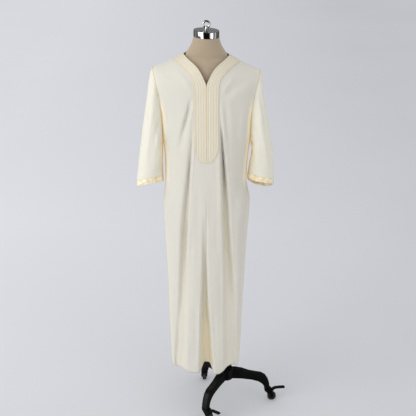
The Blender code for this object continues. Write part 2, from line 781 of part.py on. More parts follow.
def cloth_wall(name, points, normals, lift, thickness, material, collection, closed=False, keep=None):
    """A cloth piece as a closed wall: its inner face is `lift` out from the points."""
    bm = bmesh.new()
    out = grid_faces(bm, points, normals, closed, keep or (lambda row, column: True))
    bmesh.ops.remove_doubles(bm, verts=bm.verts, dist=1e-7)
    for vert in bm.verts:
        vert.co += vert[out].normalized() * lift
    bmesh.ops.triangulate(bm, faces=bm.faces, quad_method="FIXED")
    made = bmesh.ops.extrude_face_region(bm, geom=list(bm.faces), use_keep_orig=True)
    for vert in made["geom"]:
        if isinstance(vert, bmesh.types.BMVert):
            vert.co += vert[out].normalized() * thickness
    bmesh.ops.recalc_face_normals(bm, faces=bm.faces)
    for face in bm.faces:
        face.smooth = True
    mesh = bpy.data.meshes.new(name)
    bm.to_mesh(mesh)
    bm.free()
    return placed(name, mesh, material, collection)


def form_points():
    """Rings of the form from its flat bottom up to the neck's top."""
    rings = []
    angle = 2.0 * np.pi * np.arange(FORM_ROUND) / FORM_ROUND
    across = np.sin(angle)
    facing = -np.cos(angle)
    heights = [(row[0], "body") for row in FORM_SECTIONS]
    heights += [(height, "ridge") for height in FORM_RIDGE_RINGS]
    for z, kind in heights:
        half = between(FORM_SECTIONS, z, 1)
        if kind == "ridge":
            half = between(RIDGE[::-1], z + FORM_UNDER_RIDGE, 0, key=1)
        front = between(FORM_SECTIONS, z, 2)
        back = between(FORM_SECTIONS, z, 3)
        x = half * np.sign(across) * np.abs(across) ** (2.0 / FORM_SQUARENESS)
        limit = np.maximum(half, float(between(FORM_SECTIONS, z, 1)))
        closing = np.clip(1.0 - (np.abs(x) / limit) ** FORM_SQUARENESS, 0.0, 1.0) ** (1.0 / FORM_SQUARENESS)
        turn = 1.0
        if z > FORM_TURN_FROM:
            turn = FORM_TURN * over_shoulder(x, np.full_like(x, z), FORM_UNDER_RIDGE)
        middle = SIDE_Y + (RIDGE_Y - SIDE_Y) * eased((z - UNDERARM) / SIDE_TO_RIDGE)
        depth = np.where(facing < 0, middle - front, back - middle)
        if kind == "body":
            depth = depth * np.abs(facing) ** (2.0 / FORM_SQUARENESS) * turn
            y = middle + np.sign(facing) * depth
        else:
            y = middle + np.sign(facing) * depth * closing * turn
            y = np.where(np.abs(facing) < 1e-9, middle, y)
        rings.append(np.stack([x, y, np.full_like(x, z)], -1))
    for z, half, front, back in NECK:
        x = half * across
        middle = (front + back) / 2.0
        y = middle + facing * (back - front) / 2.0
        rings.append(np.stack([x, y, np.full_like(x, z)], -1))
    return drooped(np.array(rings))


def build_form(material, collection):
    rings = form_points()
    bm = bmesh.new()
    loops = [[bm.verts.new(point) for point in ring] for ring in rings]
    for lower, upper in zip(loops, loops[1:]):
        for index in range(FORM_ROUND):
            beside = (index + 1) % FORM_ROUND
            bm.faces.new((lower[index], lower[beside], upper[beside], upper[index]))
    bm.faces.new(loops[0][::-1])
    bm.faces.new(loops[-1])
    bmesh.ops.recalc_face_normals(bm, faces=bm.faces)
    for face in bm.faces:
        face.smooth = len(face.verts) == 4
    mesh = bpy.data.meshes.new("torso")
    bm.to_mesh(mesh)
    bm.free()
    return placed("torso", mesh, material, collection)


def turned(name, profile, steps, material, collection):
    """A solid of revolution about +Z: the profile runs down its outer side, top to bottom."""
    mesh = bpy.data.meshes.new(name)
    points = [(radius, 0.0, height) for radius, height in profile]
    edges = [(index, index + 1) for index in range(len(points) - 1)]
    if profile[0][0] > 0.0:
        edges.append((len(points) - 1, 0))
    mesh.from_pydata(points, edges, [])
    made = placed(name, mesh, material, collection)
    screw = made.modifiers.new("turn", "SCREW")
    screw.steps = steps
    screw.render_steps = steps
    screw.use_merge_vertices = True
    screw.merge_threshold = 0.00001
    screw.use_smooth_shade = True
    return made


def baked(made):
    """Replaces an object's curve or modifiers by the mesh that they give."""
    graph = bpy.context.evaluated_depsgraph_get()
    mesh = bpy.data.meshes.new_from_object(made.evaluated_get(graph))
    name = made.name
    world = made.matrix_world.copy()
    material = made.data.materials[0]
    collection = made.users_collection[0]
    bpy.data.objects.remove(made)
    fresh = placed(name, mesh, material, collection)
    fresh.matrix_world = world
    bm = bmesh.new()
    bm.from_mesh(fresh.data)
    bmesh.ops.remove_doubles(bm, verts=bm.verts, dist=1e-6)
    bmesh.ops.recalc_face_normals(bm, faces=bm.faces)
    bm.to_mesh(fresh.data)
    bm.free()
    return fresh


def plate(name, outline, width, bevel, material, collection):
    """An outline in the x-z plane, made into a plate of this width across y."""
    curve = bpy.data.curves.new(name, "CURVE")
    curve.dimensions = "2D"
    curve.fill_mode = "BOTH"
    curve.extrude = width / 2.0 - bevel
    curve.bevel_depth = bevel
    curve.bevel_resolution = 1
    curve.offset = -bevel
    line = curve.splines.new("POLY")
    line.points.add(len(outline) - 1)
    for point, (x, z) in zip(line.points, outline):
        point.co = (x, z, 0.0, 1.0)
    line.use_cyclic_u = True
    made = placed(name, curve, material, collection)
    made.rotation_euler = (math.radians(90.0), 0.0, 0.0)
    bpy.context.view_layer.update()
    made = baked(made)
    made.data.transform(made.matrix_world)
    made.matrix_world.identity()
    return made


def turn_about(made, angle, x, y):
    """Turns a mesh about +Z by degrees and moves its axis to (x, y)."""
    cos = math.cos(math.radians(angle))
    sin = math.sin(math.radians(angle))
    for vert in made.data.vertices:
        px, py, pz = vert.co
        vert.co = (x + px * cos - py * sin, y + px * sin + py * cos, pz)


def shift(made, x, y, z):
    for vert in made.data.vertices:
        vert.co = (vert.co.x + x, vert.co.y + y, vert.co.z + z)


def as_cutter(made, cutters):
    """Moves an object out of the part's collection to the cutters' one."""
    for collection in list(made.users_collection):
        collection.objects.unlink(made)
    cutters.objects.link(made)
    made.hide_render = True
    made.display_type = "WIRE"
    return made


def boolean(made, other, operation):
    """Joins another object to this one or cuts it out of it, and removes the other."""
    cut = made.modifiers.new(operation.lower(), "BOOLEAN")
    cut.operation = operation
    cut.solver = "EXACT"
    cut.object = other
    bpy.context.view_layer.update()
    fresh = baked(made)
    bpy.data.objects.remove(other)
    return fresh


def set_origin(made, point):
    """Puts the object's origin on its joint's axis, without moving its shape."""
    shift(made, -point[0], -point[1], -point[2])
    made.location = point


def build_robe(look, collection):
    points, normals = front_surface()
    middle_left = points.shape[1] // 2
    middle_right = middle_left - 1
    band = len(BAND_COLUMNS) - 1

    def in_panel(row, column):
        return column != middle_right

    def in_plastron(row, column):
        near = middle_right - band <= column < middle_left + band
        return row < TIP_ROW and near and column != middle_right

    def in_border(row, column):
        edge = column in (middle_right - band, middle_left + band - 1)
        return in_plastron(row, column) and (edge or row == TIP_ROW - 1)

    def in_centre(row, column):
        inner = column in (middle_right - 1, middle_left)
        return in_plastron(row, column) and inner and row < TIP_ROW - 2

    on_panel = CLOTH + LAYER_GAP
    on_plastron = on_panel + PLASTRON_CLOTH + LAYER_GAP
    cloth_wall("robe_front", points, normals, 0.0, CLOTH, look["robe"], collection, keep=in_panel)
    cloth_wall(
        "plastron", points, normals, on_panel, PLASTRON_CLOTH, look["plastron"], collection, keep=in_plastron
    )
    cloth_wall(
        "border_braid", points, normals, on_plastron, BRAID, look["braid"], collection, keep=in_border
    )
    cloth_wall(
        "centre_braid", points, normals, on_plastron, BRAID, look["centre_braid"], collection, keep=in_centre
    )

    points, normals = back_surface()
    middle = points.shape[1] // 2

    def in_neckband(row, column):
        return row < BACK_BAND_ROW and middle - BACK_BAND_COLUMN <= column < middle + BACK_BAND_COLUMN

    cloth_wall("robe_back", points, normals, 0.0, CLOTH, look["robe_back"], collection)
    cloth_wall(
        "back_neckband",
        points,
        normals,
        on_panel,
        PLASTRON_CLOTH,
        look["neckband"],
        collection,
        keep=in_neckband,
    )

    for side, word in ((-1, "right"), (1, "left")):
        shares = np.linspace(0.0, 1.0, SLEEVE_RINGS) ** RING_CROWDING
        grid, out = sleeve_surface(side, shares, True)
        cloth_wall(
            f"sleeve_{word}", grid, out, 0.0, CLOTH, look[f"sleeve_{word}"], collection, closed=True
        )
        ends = np.linspace(1.0 + CUFF_GAP_SHARE, CUFF_END_SHARE, CUFF_RINGS + 1)
        grid, out = sleeve_surface(side, ends, False)
        cloth_wall(f"cuff_{word}", grid, out, 0.0, CLOTH, look[f"cuff_{word}"], collection, closed=True)


def build_cap(look, collection):
    height = CAP_TOP - CAP_BOTTOM
    cap = turned(
        "neck_cap",
        [
            (0.0, height),
            (CAP_RADIUS - CAP_EDGE, height),
            (CAP_RADIUS, height - CAP_EDGE),
            (CAP_RADIUS, 0.0),
            (0.0, 0.0),
        ],
        40,
        look["cap"],
        collection,
    )
    cap = baked(cap)
    shift(cap, 0.0, 0.0, CAP_BOTTOM)
    for vert in cap.data.vertices:
        vert.co.z -= CAP_LEAN * vert.co.x

    bpy.ops.mesh.primitive_torus_add(
        major_radius=RING_RADIUS, minor_radius=RING_WIRE, major_segments=28, minor_segments=12
    )
    ring = bpy.context.active_object
    mesh = ring.data
    bpy.data.objects.remove(ring)
    mesh.name = "cap_ring"
    ring = placed("cap_ring", mesh, look["ring"], collection)
    for vert in mesh.vertices:
        vert.co = (vert.co.x, vert.co.z, vert.co.y)
    ring = baked(ring)
    centre = CAP_TOP + LAYER_GAP + RING_STEM_HEIGHT + RING_RADIUS - RING_WIRE / 2
    shift(ring, 0.0, 0.0, centre)
    stem = turned(
        "ring_stem",
        [
            (0.0, RING_STEM_HEIGHT + RING_WIRE / 2),
            (RING_STEM, RING_STEM_HEIGHT + RING_WIRE / 2),
            (RING_STEM, RING_FOOT_HEIGHT),
            (RING_FOOT, RING_FOOT_EDGE),
            (RING_FOOT, 0.0),
            (0.0, 0.0),
        ],
        24,
        look["ring"],
        collection,
    )
    stem = baked(stem)
    shift(stem, 0.0, 0.0, CAP_TOP + LAYER_GAP)
    ring = boolean(ring, stem, "UNION")
    for vert in ring.data.vertices:
        vert.co.z -= CAP_LEAN * vert.co.x
    for face in ring.data.polygons:
        face.use_smooth = True


def build_poles(look, collection):
    pole_top = FORM_BOTTOM - SOCKET_PLATE - 2 * LAYER_GAP
    pole = baked(
        turned(
            "upper_pole",
            [
                (0.0, pole_top),
                (UPPER_POLE_RADIUS, pole_top),
                (UPPER_POLE_RADIUS, UPPER_POLE_BOTTOM),
                (0.0, UPPER_POLE_BOTTOM),
            ],
            24,
            look["pole"],
            collection,
        )
    )
    shift(pole, STAND_X, STAND_Y, 0.0)

    plate_top = FORM_BOTTOM - LAYER_GAP
    plate_bottom = plate_top - SOCKET_PLATE
    socket = baked(
        turned(
            "pole_socket",
            [
                (0.0, plate_top),
                (SOCKET_PLATE_RADIUS, plate_top),
                (SOCKET_PLATE_RADIUS, plate_bottom),
                (SOCKET_RADIUS, plate_bottom),
                (SOCKET_RADIUS, plate_top - SOCKET_HEIGHT),
                (SOCKET_BORE, plate_top - SOCKET_HEIGHT),
                (SOCKET_BORE, plate_bottom),
                (0.0, plate_bottom),
            ],
            24,
            look["socket"],
            collection,
        )
    )
    shift(socket, STAND_X, STAND_Y, 0.0)

    tube = baked(
        turned(
            "stand_tube",
            [
                (TUBE_BORE, TUBE_TOP),
                (TUBE_RADIUS, TUBE_TOP),
                (TUBE_RADIUS, TUBE_BOTTOM),
                (TUBE_BORE, TUBE_BOTTOM),
            ],
            24,
            look["tube"],
            collection,
        )
    )
    shift(tube, STAND_X, STAND_Y, 0.0)


def build_tripod(look, collection, cutters):
    hub = baked(
        turned(
            "tripod",
            [
                (0.0, COLLAR_TOP),
                (COLLAR_RADIUS - 0.002, COLLAR_TOP),
                (COLLAR_RADIUS, COLLAR_TOP - 0.002),
                (COLLAR_RADIUS, HUB_TOP + 0.004),
                (HUB_RADIUS - 0.003, HUB_TOP),
                (HUB_RADIUS, HUB_TOP - 0.004),
                (HUB_RADIUS, HUB_BOTTOM + 0.004),
                (HUB_RADIUS - 0.004, HUB_BOTTOM),
                (0.0, HUB_BOTTOM),
            ],
            36,
            look["iron"],
            collection,
        )
    )
    for name, angle, _ in CASTORS:
        leg = plate(f"leg_{name}", LEG_OUTLINE, LEG_WIDTH, LEG_BEVEL, look["iron"], collection)
        turn_about(leg, angle, 0.0, 0.0)
        hub = boolean(hub, leg, "UNION")
    bore = baked(
        turned(
            "hub_bore",
            [
                (0.0, COLLAR_TOP + 0.01),
                (HUB_BORE, COLLAR_TOP + 0.01),
                (HUB_BORE, HUB_FLOOR),
                (0.0, HUB_FLOOR),
            ],
            24,
            look["iron"],
            collection,
        )
    )
    hub = boolean(hub, as_cutter(bore, cutters), "DIFFERENCE")
    shift(hub, STAND_X, STAND_Y, 0.0)

    end = SCREW_START + SCREW_SHANK_LENGTH + SCREW_HEAD_LENGTH
    screw = baked(
        turned(
            "clamp_screw",
            [
                (0.0, end),
                (SCREW_HEAD - 0.001, end),
                (SCREW_HEAD, end - 0.001),
                (SCREW_HEAD, end - SCREW_HEAD_LENGTH + 0.001),
                (SCREW_HEAD - 0.001, end - SCREW_HEAD_LENGTH),
                (SCREW_SHANK, end - SCREW_HEAD_LENGTH),
                (SCREW_SHANK, SCREW_START),
                (0.0, SCREW_START),
            ],
            20,
            look["screw"],
            collection,
        )
    )
    for vert in screw.data.vertices:
        vert.co = (vert.co.z, vert.co.y, -vert.co.x)
    turn_about(screw, SCREW_ANGLE, STAND_X, STAND_Y)
    shift(screw, 0.0, 0.0, SCREW_HEIGHT)
    set_origin(screw, (STAND_X, STAND_Y, SCREW_HEIGHT))


def build_castor(name, leg_angle, trail_angle, look, collection, cutters):
    stem_x = STAND_X + STEM_REACH * math.cos(math.radians(leg_angle))
    stem_y = STAND_Y + STEM_REACH * math.sin(math.radians(leg_angle))
    fork = plate(f"castor_fork_{name}", FORK_OUTLINE, FORK_WIDTH, 0.0015, look["iron"], collection)
    bpy.ops.mesh.primitive_cube_add(size=1.0)
    slot = bpy.context.active_object
    mesh = slot.data
    bpy.data.objects.remove(slot)
    slot = placed("fork_slot", mesh, look["iron"], collection)
    for vert in mesh.vertices:
        z = (vert.co.z + 0.5) * FORK_SLOT_TOP
        vert.co = (vert.co.x * FORK_SLOT_LENGTH, vert.co.y * FORK_SLOT, z)
    fork = boolean(fork, as_cutter(slot, cutters), "DIFFERENCE")
    turn_about(fork, trail_angle, stem_x, stem_y)
    set_origin(fork, (stem_x, stem_y, FORK_TOP))

    rim = WHEEL_RADIUS / math.cos(math.pi / WHEEL_SIDES)
    half = WHEEL_WIDTH / 2.0
    hub_half = WHEEL_HUB_WIDTH / 2.0
    wheel = baked(
        turned(
            f"castor_wheel_{name}",
            [
                (0.0, hub_half),
                (WHEEL_HUB_RADIUS, hub_half),
                (WHEEL_HUB_RADIUS, half - 0.002),
                (rim - 0.004, half - 0.001),
                (rim - 0.0015, half),
                (rim, half - 0.002),
                (rim, -half + 0.002),
                (rim - 0.0015, -half),
                (rim - 0.004, -half + 0.001),
                (WHEEL_HUB_RADIUS, -half + 0.002),
                (WHEEL_HUB_RADIUS, -hub_half),
                (0.0, -hub_half),
            ],
            WHEEL_SIDES,
            look["wheel"],
            collection,
        )
    )
    facet = math.pi / WHEEL_SIDES
    for vert in wheel.data.vertices:
        x, y, z = vert.co
        turned_x = x * math.cos(facet) - y * math.sin(facet)
        turned_y = x * math.sin(facet) + y * math.cos(facet)
        vert.co = (TRAIL + turned_x, z, turned_y + WHEEL_RADIUS)
    bm = bmesh.new()
    bm.from_mesh(wheel.data)
    bmesh.ops.recalc_face_normals(bm, faces=bm.faces)
    bm.to_mesh(wheel.data)
    bm.free()
    turn_about(wheel, trail_angle, stem_x, stem_y)
    axle_x = stem_x + TRAIL * math.cos(math.radians(trail_angle))
    axle_y = stem_y + TRAIL * math.sin(math.radians(trail_angle))
    set_origin(wheel, (axle_x, axle_y, WHEEL_RADIUS))

    lever = plate(f"brake_lever_{name}", LEVER_OUTLINE, LEVER_WIDTH, 0.001, look["lever"], collection)
    turn_about(lever, trail_angle, stem_x, stem_y)
    reach, height = LEVER_PIVOT
    pivot_x = stem_x + reach * math.cos(math.radians(trail_angle))
    pivot_y = stem_y + reach * math.sin(math.radians(trail_angle))
    set_origin(lever, (pivot_x, pivot_y, height))


def main():
    for old in list(bpy.data.objects):
        bpy.data.objects.remove(old, do_unlink=True)
    collection = bpy.data.collections.new("embroidered_robe_on_form")
    bpy.context.scene.collection.children.link(collection)
    cutters = bpy.data.collections.new("cutters")
    bpy.context.scene.collection.children.link(cutters)

    cream = (0.80, 0.775, 0.70)
    warm_cream = (0.84, 0.81, 0.70)
    satin = (0.83, 0.72, 0.44)
    embroidery = (0.72, 0.66, 0.52)
    black = (0.012, 0.012, 0.012)
    look = {
        "robe": cloth_material("cream_cloth_front", cream, 0.75),
        "robe_back": cloth_material("cream_cloth_back", cream, 0.75),
        "sleeve_right": cloth_material("cream_cloth_right_sleeve", warm_cream, 0.75),
        "sleeve_left": cloth_material("cream_cloth_left_sleeve", warm_cream, 0.75),
        "cuff_right": cloth_material("satin_right_cuff", satin, 0.35),
        "cuff_left": cloth_material("satin_left_cuff", satin, 0.35),
        "plastron": cloth_material("embroidered_plastron", embroidery, 0.7),
        "neckband": cloth_material("embroidered_neckband", embroidery, 0.7),
        "braid": cloth_material("border_braid", (0.74, 0.64, 0.42), 0.6),
        "centre_braid": cloth_material("centre_braid", (0.75, 0.66, 0.45), 0.6),
        "form": cloth_material("khaki_form_cover", (0.45, 0.37, 0.27), 0.85),
        "cap": plain_material("chrome_cap", (0.80, 0.80, 0.80), 0.12, 1.0),
        "ring": plain_material("chrome_ring", (0.80, 0.80, 0.80), 0.15, 1.0),
        "pole": plain_material("chrome_pole", (0.80, 0.80, 0.80), 0.2, 1.0),
        "socket": plain_material("black_socket", black, 0.5, 0.0),
        "tube": plain_material("black_tube", black, 0.4, 0.0),
        "iron": plain_material("black_iron", black, 0.45, 0.0),
        "screw": plain_material("steel_screw", (0.55, 0.55, 0.55), 0.35, 1.0),
        "wheel": plain_material("castor_wheel", (0.05, 0.05, 0.05), 0.4, 0.0),
        "lever": plain_material("black_lever", black, 0.5, 0.0),
    }
    build_robe(look, collection)
    build_form(look["form"], collection)
    build_cap(look, collection)
    build_poles(look, collection)
    build_tripod(look, collection, cutters)
    for name, leg_angle, trail_angle in CASTORS:
        build_castor(name, leg_angle, trail_angle, look, collection, cutters)
    for made in collection.objects:
        made.location.x += FRAME_SHIFT[0]
        made.location.y += FRAME_SHIFT[1]
        made.location.z += FRAME_SHIFT[2]


main()
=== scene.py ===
"""The looks of an embroidered robe on a limbless dress form with a rolling tripod stand.

Metres, +Z up. The robe's front faces -Y, and left and right are the wearer's, so the wearer's left is at +X.
Cloth is worked out round the neck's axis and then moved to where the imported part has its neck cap.
"""

import math

import bmesh
import bpy
import numpy as np
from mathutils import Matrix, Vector


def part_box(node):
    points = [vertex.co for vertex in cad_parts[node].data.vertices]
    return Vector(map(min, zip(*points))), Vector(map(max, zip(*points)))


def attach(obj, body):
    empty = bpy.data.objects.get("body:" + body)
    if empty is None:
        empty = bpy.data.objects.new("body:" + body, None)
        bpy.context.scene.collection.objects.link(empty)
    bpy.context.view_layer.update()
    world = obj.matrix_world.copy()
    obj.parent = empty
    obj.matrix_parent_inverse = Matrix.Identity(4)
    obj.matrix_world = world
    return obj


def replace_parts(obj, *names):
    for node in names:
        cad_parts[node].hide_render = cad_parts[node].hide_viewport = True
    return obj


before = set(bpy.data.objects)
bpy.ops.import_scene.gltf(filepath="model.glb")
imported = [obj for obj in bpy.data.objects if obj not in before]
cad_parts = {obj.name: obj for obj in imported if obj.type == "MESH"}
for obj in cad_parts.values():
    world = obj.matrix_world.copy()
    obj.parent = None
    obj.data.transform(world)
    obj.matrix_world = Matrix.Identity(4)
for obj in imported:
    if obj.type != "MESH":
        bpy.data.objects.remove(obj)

bl_info = {
    "name": "Embroidered robe on a rolling form",
    "version": (1, 0, 0),
    "blender": (4, 5, 0),
    "location": "View3D > Sidebar > Robe",
    "description": "Makes a hanging embroidered robe, its dress form and its rolling stand",
    "category": "Object",
}


def middle_of(node):
    low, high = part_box(node)
    return (low + high) / 2


NECK_AXIS = middle_of("neck_cap")

# Points closer than this are one point. Two halves of a panel are sewn together at up to the second distance.
SAME_POINT = 1e-6
SEWN_TOGETHER = 4e-5
TINY = 1e-12

# How far each layer lies outside the form's side of the cloth.
CLOTH_OUT = 0.0018
PLASTRON_OUT = 0.0030
BRAID_OUT = 0.0031
ARMHOLE_STEP = 0.0016

# The shoulders: the right one stands a little higher than the left, and the neck cap leans a little more.
DROOP_BY_HEIGHT = (
    # height, fall in z for each metre towards the wearer's left
    (1.150, 0.0),
    (1.450, 0.0286),
    (1.560, 0.0286),
    (1.620, 0.050),
)

# The line along the top of the shoulders, under the robe's shoulder seams.
RIDGE = (
    # distance from the middle, height, drop over which the cloth turns from flat to hanging
    (0.0, 1.595, 0.150),
    (0.030, 1.588, 0.148),
    (0.060, 1.573, 0.142),
    (0.0875, 1.557, 0.135),
    (0.130, 1.535, 0.120),
    (0.2095, 1.501, 0.075),
    (0.260, 1.480, 0.060),
)
RIDGE_Y = 0.010
SHOULDER_TIP = 0.2095
SHOULDER_TIP_Z = 1.501
NECK_SIDE = 0.0875

# The robe without its folds, from the hem up. Above the underarm, the side is the armhole's edge.
BODY = (
    # height, right side's x, left side's x, front's y, back's y
    (0.170, 0.144, 0.134, -0.068, 0.096),
    (0.250, 0.151, 0.142, -0.073, 0.098),
    (0.400, 0.156, 0.147, -0.081, 0.100),
    (0.590, 0.160, 0.156, -0.091, 0.102),
    (0.770, 0.167, 0.164, -0.101, 0.105),
    (0.950, 0.173, 0.175, -0.110, 0.107),
    (1.050, 0.164, 0.160, -0.113, 0.106),
    (1.130, 0.165, 0.164, -0.115, 0.105),
    (1.215, 0.172, 0.173, -0.116, 0.103),
    (1.300, 0.174, 0.175, -0.115, 0.101),
    (1.375, 0.181, 0.181, -0.114, 0.099),
    (1.455, 0.196, 0.196, -0.110, 0.095),
    (1.501, 0.2095, 0.2095, -0.110, 0.092),
)
SQUARENESS = 2.25
SIDE_Y = 0.005
MIDDLE_SHIFT = 0.1595
WALK_STEPS = 241
SPREAD_STEPS = 400

UNDERARM = 1.215
ARMHOLE_ROUND = 1.370
ARMHOLE_DEPTH = 0.058
TIP_CLEARANCE = 0.0003
JUST_INSIDE = 0.985

# The largest folds, as in the solids, but softer towards the hem.
FRONT_PLEATS = (
    (
        # the deep pleat in the middle: height, x, depth, half width
        (0.930, -0.006, 0.0, 0.012),
        (0.730, -0.007, 0.016, 0.014),
        (0.540, -0.007, 0.040, 0.021),
        (0.390, -0.004, 0.064, 0.028),
        (0.170, 0.002, 0.096, 0.037),
    ),
    (
        # the pleat below the plastron's left edge
        (1.315, 0.058, 0.0, 0.010),
        (1.170, 0.065, 0.013, 0.014),
        (1.030, 0.073, 0.025, 0.017),
        (0.860, 0.080, 0.033, 0.020),
        (0.620, 0.092, 0.028, 0.026),
        (0.400, 0.097, 0.017, 0.032),
        (0.170, 0.104, 0.020, 0.034),
    ),
    (
        # the pleat below the plastron's right edge
        (1.250, -0.052, 0.0, 0.010),
        (1.120, -0.066, 0.011, 0.013),
        (0.950, -0.080, 0.020, 0.017),
        (0.810, -0.089, 0.024, 0.020),
        (0.560, -0.096, 0.018, 0.025),
        (0.390, -0.104, 0.013, 0.030),
        (0.170, -0.120, 0.022, 0.036),
    ),
    (
        # the slanting fold on the right side of the chest
        (1.420, -0.056, 0.0, 0.012),
        (1.360, -0.068, 0.006, 0.014),
        (1.280, -0.086, 0.008, 0.016),
        (1.180, -0.108, 0.0, 0.016),
    ),
    (
        # a soft swell on the left hip
        (1.050, 0.132, 0.0, 0.018),
        (0.850, 0.134, -0.007, 0.020),
        (0.500, 0.136, -0.007, 0.018),
        (0.300, 0.132, 0.0, 0.016),
    ),
)
BACK_PLEATS = (
    (
        # left of the middle of the back: height, x, depth, half width
        (1.320, 0.030, 0.0, 0.014),
        (1.120, 0.036, 0.010, 0.018),
        (0.850, 0.043, 0.022, 0.023),
        (0.500, 0.050, 0.030, 0.028),
        (0.170, 0.056, 0.036, 0.032),
    ),
    (
        # right of the middle of the back
        (1.260, -0.042, 0.0, 0.014),
        (1.050, -0.050, 0.010, 0.019),
        (0.800, -0.058, 0.024, 0.024),
        (0.450, -0.066, 0.033, 0.029),
        (0.170, -0.072, 0.040, 0.033),
    ),
    (
        # towards the left side
        (1.000, 0.116, 0.0, 0.014),
        (0.700, 0.118, 0.012, 0.019),
        (0.170, 0.112, 0.020, 0.023),
    ),
    (
        # towards the right side
        (0.900, -0.124, 0.0, 0.014),
        (0.600, -0.124, 0.010, 0.018),
        (0.170, -0.124, 0.018, 0.022),
    ),
)
FOLD_SOFTNESS = 0.72
FOLDS_STOP_AT_SIDE = 0.018
# How deep a fold is where its painted shade is full.
FOLD_DEPTH_OF_FULL_SHADE = 0.075

# A crease fades at its ends, over shares of its length, and has a faint swell on one side, in half widths.
CREASE_FADE_OUT = 0.35
SWELL_AWAY = 1.9
SWELL_WIDTH = 1.6

# Finer creases. A crease with a depth below zero is a soft ridge.
FRONT_CREASES = (
    # start x, start height, end x, end height, bow, half width, depth
    (-0.168, 1.500, -0.058, 1.420, 0.010, 0.0110, 0.0016),
    (-0.120, 1.512, -0.056, 1.440, 0.006, 0.0090, -0.0016),
    (-0.064, 1.395, -0.100, 1.250, 0.004, 0.0050, 0.0034),
    (-0.060, 1.340, -0.090, 1.180, 0.004, 0.0060, -0.0012),
    (0.053, 1.345, 0.076, 0.930, 0.003, 0.0056, 0.0092),
    (0.044, 1.250, 0.060, 0.860, 0.002, 0.0090, -0.0026),
    (-0.050, 1.300, -0.078, 0.960, -0.003, 0.0050, 0.0052),
    (-0.072, 0.950, -0.088, 0.640, -0.002, 0.0060, 0.0030),
    (-0.118, 1.430, -0.124, 1.200, 0.006, 0.0130, 0.0012),
    (-0.146, 1.380, -0.138, 1.120, -0.006, 0.0110, 0.0016),
    (-0.120, 1.180, -0.140, 0.960, 0.005, 0.0120, 0.0016),
    (-0.100, 1.060, -0.124, 0.760, 0.004, 0.0090, -0.0014),
    (-0.142, 0.980, -0.132, 0.560, 0.005, 0.0110, 0.0018),
    (-0.060, 0.900, -0.068, 0.420, -0.006, 0.0110, 0.0016),
    (-0.036, 1.120, -0.042, 0.620, 0.004, 0.0120, 0.0012),
    (-0.046, 0.560, -0.050, 0.190, 0.003, 0.0090, 0.0016),
    (-0.134, 0.520, -0.120, 0.200, 0.005, 0.0100, 0.0016),
    (-0.082, 0.330, -0.080, 0.180, 0.002, 0.0080, -0.0012),
    (0.168, 1.480, 0.064, 1.410, -0.008, 0.0120, 0.0022),
    (0.118, 1.500, 0.058, 1.425, -0.006, 0.0090, -0.0018),
    (0.056, 1.420, 0.066, 1.200, 0.004, 0.0070, -0.0020),
    (0.072, 1.400, 0.080, 1.120, 0.006, 0.0100, 0.0014),
    (0.104, 1.440, 0.112, 1.160, 0.006, 0.0120, 0.0016),
    (0.134, 1.420, 0.132, 1.140, -0.006, 0.0110, 0.0018),
    (0.156, 1.360, 0.142, 1.100, -0.004, 0.0100, 0.0016),
    (0.092, 1.200, 0.104, 0.960, 0.004, 0.0100, -0.0014),
    (0.118, 1.140, 0.128, 0.940, 0.008, 0.0120, 0.0026),
    (0.098, 1.010, 0.136, 0.900, 0.008, 0.0100, 0.0022),
    (0.108, 0.980, 0.118, 0.640, 0.004, 0.0100, -0.0016),
    (0.040, 1.110, 0.046, 0.700, -0.004, 0.0110, 0.0014),
    (0.020, 1.110, 0.014, 0.820, 0.003, 0.0110, 0.0012),
    (0.052, 0.760, 0.058, 0.300, 0.003, 0.0120, 0.0016),
    (0.034, 0.520, 0.040, 0.190, -0.003, 0.0090, 0.0014),
    (0.120, 0.620, 0.116, 0.220, 0.004, 0.0100, 0.0016),
    (0.066, 0.420, 0.072, 0.200, 0.003, 0.0080, -0.0014),
)
BACK_CREASES = (
    # start x, start height, end x, end height, bow, half width, depth
    (-0.150, 1.470, -0.060, 1.400, 0.010, 0.0130, 0.0018),
    (-0.158, 1.420, -0.090, 1.280, 0.012, 0.0120, 0.0020),
    (-0.130, 1.360, -0.120, 1.080, 0.008, 0.0120, 0.0016),
    (-0.090, 1.220, -0.100, 0.900, 0.005, 0.0120, -0.0016),
    (-0.020, 1.340, -0.024, 1.020, 0.004, 0.0130, 0.0014),
    (-0.012, 0.980, -0.016, 0.560, 0.004, 0.0120, 0.0018),
    (-0.100, 0.860, -0.104, 0.420, 0.004, 0.0110, 0.0016),
    (-0.036, 0.600, -0.030, 0.200, 0.004, 0.0100, 0.0016),
    (-0.100, 0.480, -0.098, 0.200, 0.003, 0.0090, -0.0014),
    (0.154, 1.450, 0.070, 1.390, -0.010, 0.0130, 0.0020),
    (0.150, 1.390, 0.096, 1.240, -0.010, 0.0120, 0.0018),
    (0.126, 1.330, 0.116, 1.060, -0.006, 0.0120, 0.0016),
    (0.080, 1.260, 0.090, 0.920, 0.006, 0.0120, -0.0014),
    (0.010, 1.300, 0.014, 0.900, 0.004, 0.0130, 0.0014),
    (0.086, 0.900, 0.090, 0.420, 0.004, 0.0120, 0.0016),
    (0.014, 0.760, 0.018, 0.280, 0.004, 0.0120, 0.0016),
    (0.140, 0.980, 0.134, 0.560, 0.004, 0.0110, 0.0018),
    (0.086, 0.460, 0.084, 0.200, 0.003, 0.0090, -0.0014),
)

FRONT_HEM = (
    # x, height
    (-0.150, 0.187),
    (-0.100, 0.184),
    (-0.068, 0.177),
    (-0.030, 0.178),
    (0.000, 0.182),
    (0.030, 0.172),
    (0.060, 0.170),
    (0.080, 0.190),
    (0.100, 0.197),
    (0.140, 0.188),
)
BACK_HEM = 0.192
HEM_NOMINAL = 0.180
HEM_SHAPED_BELOW = 0.420

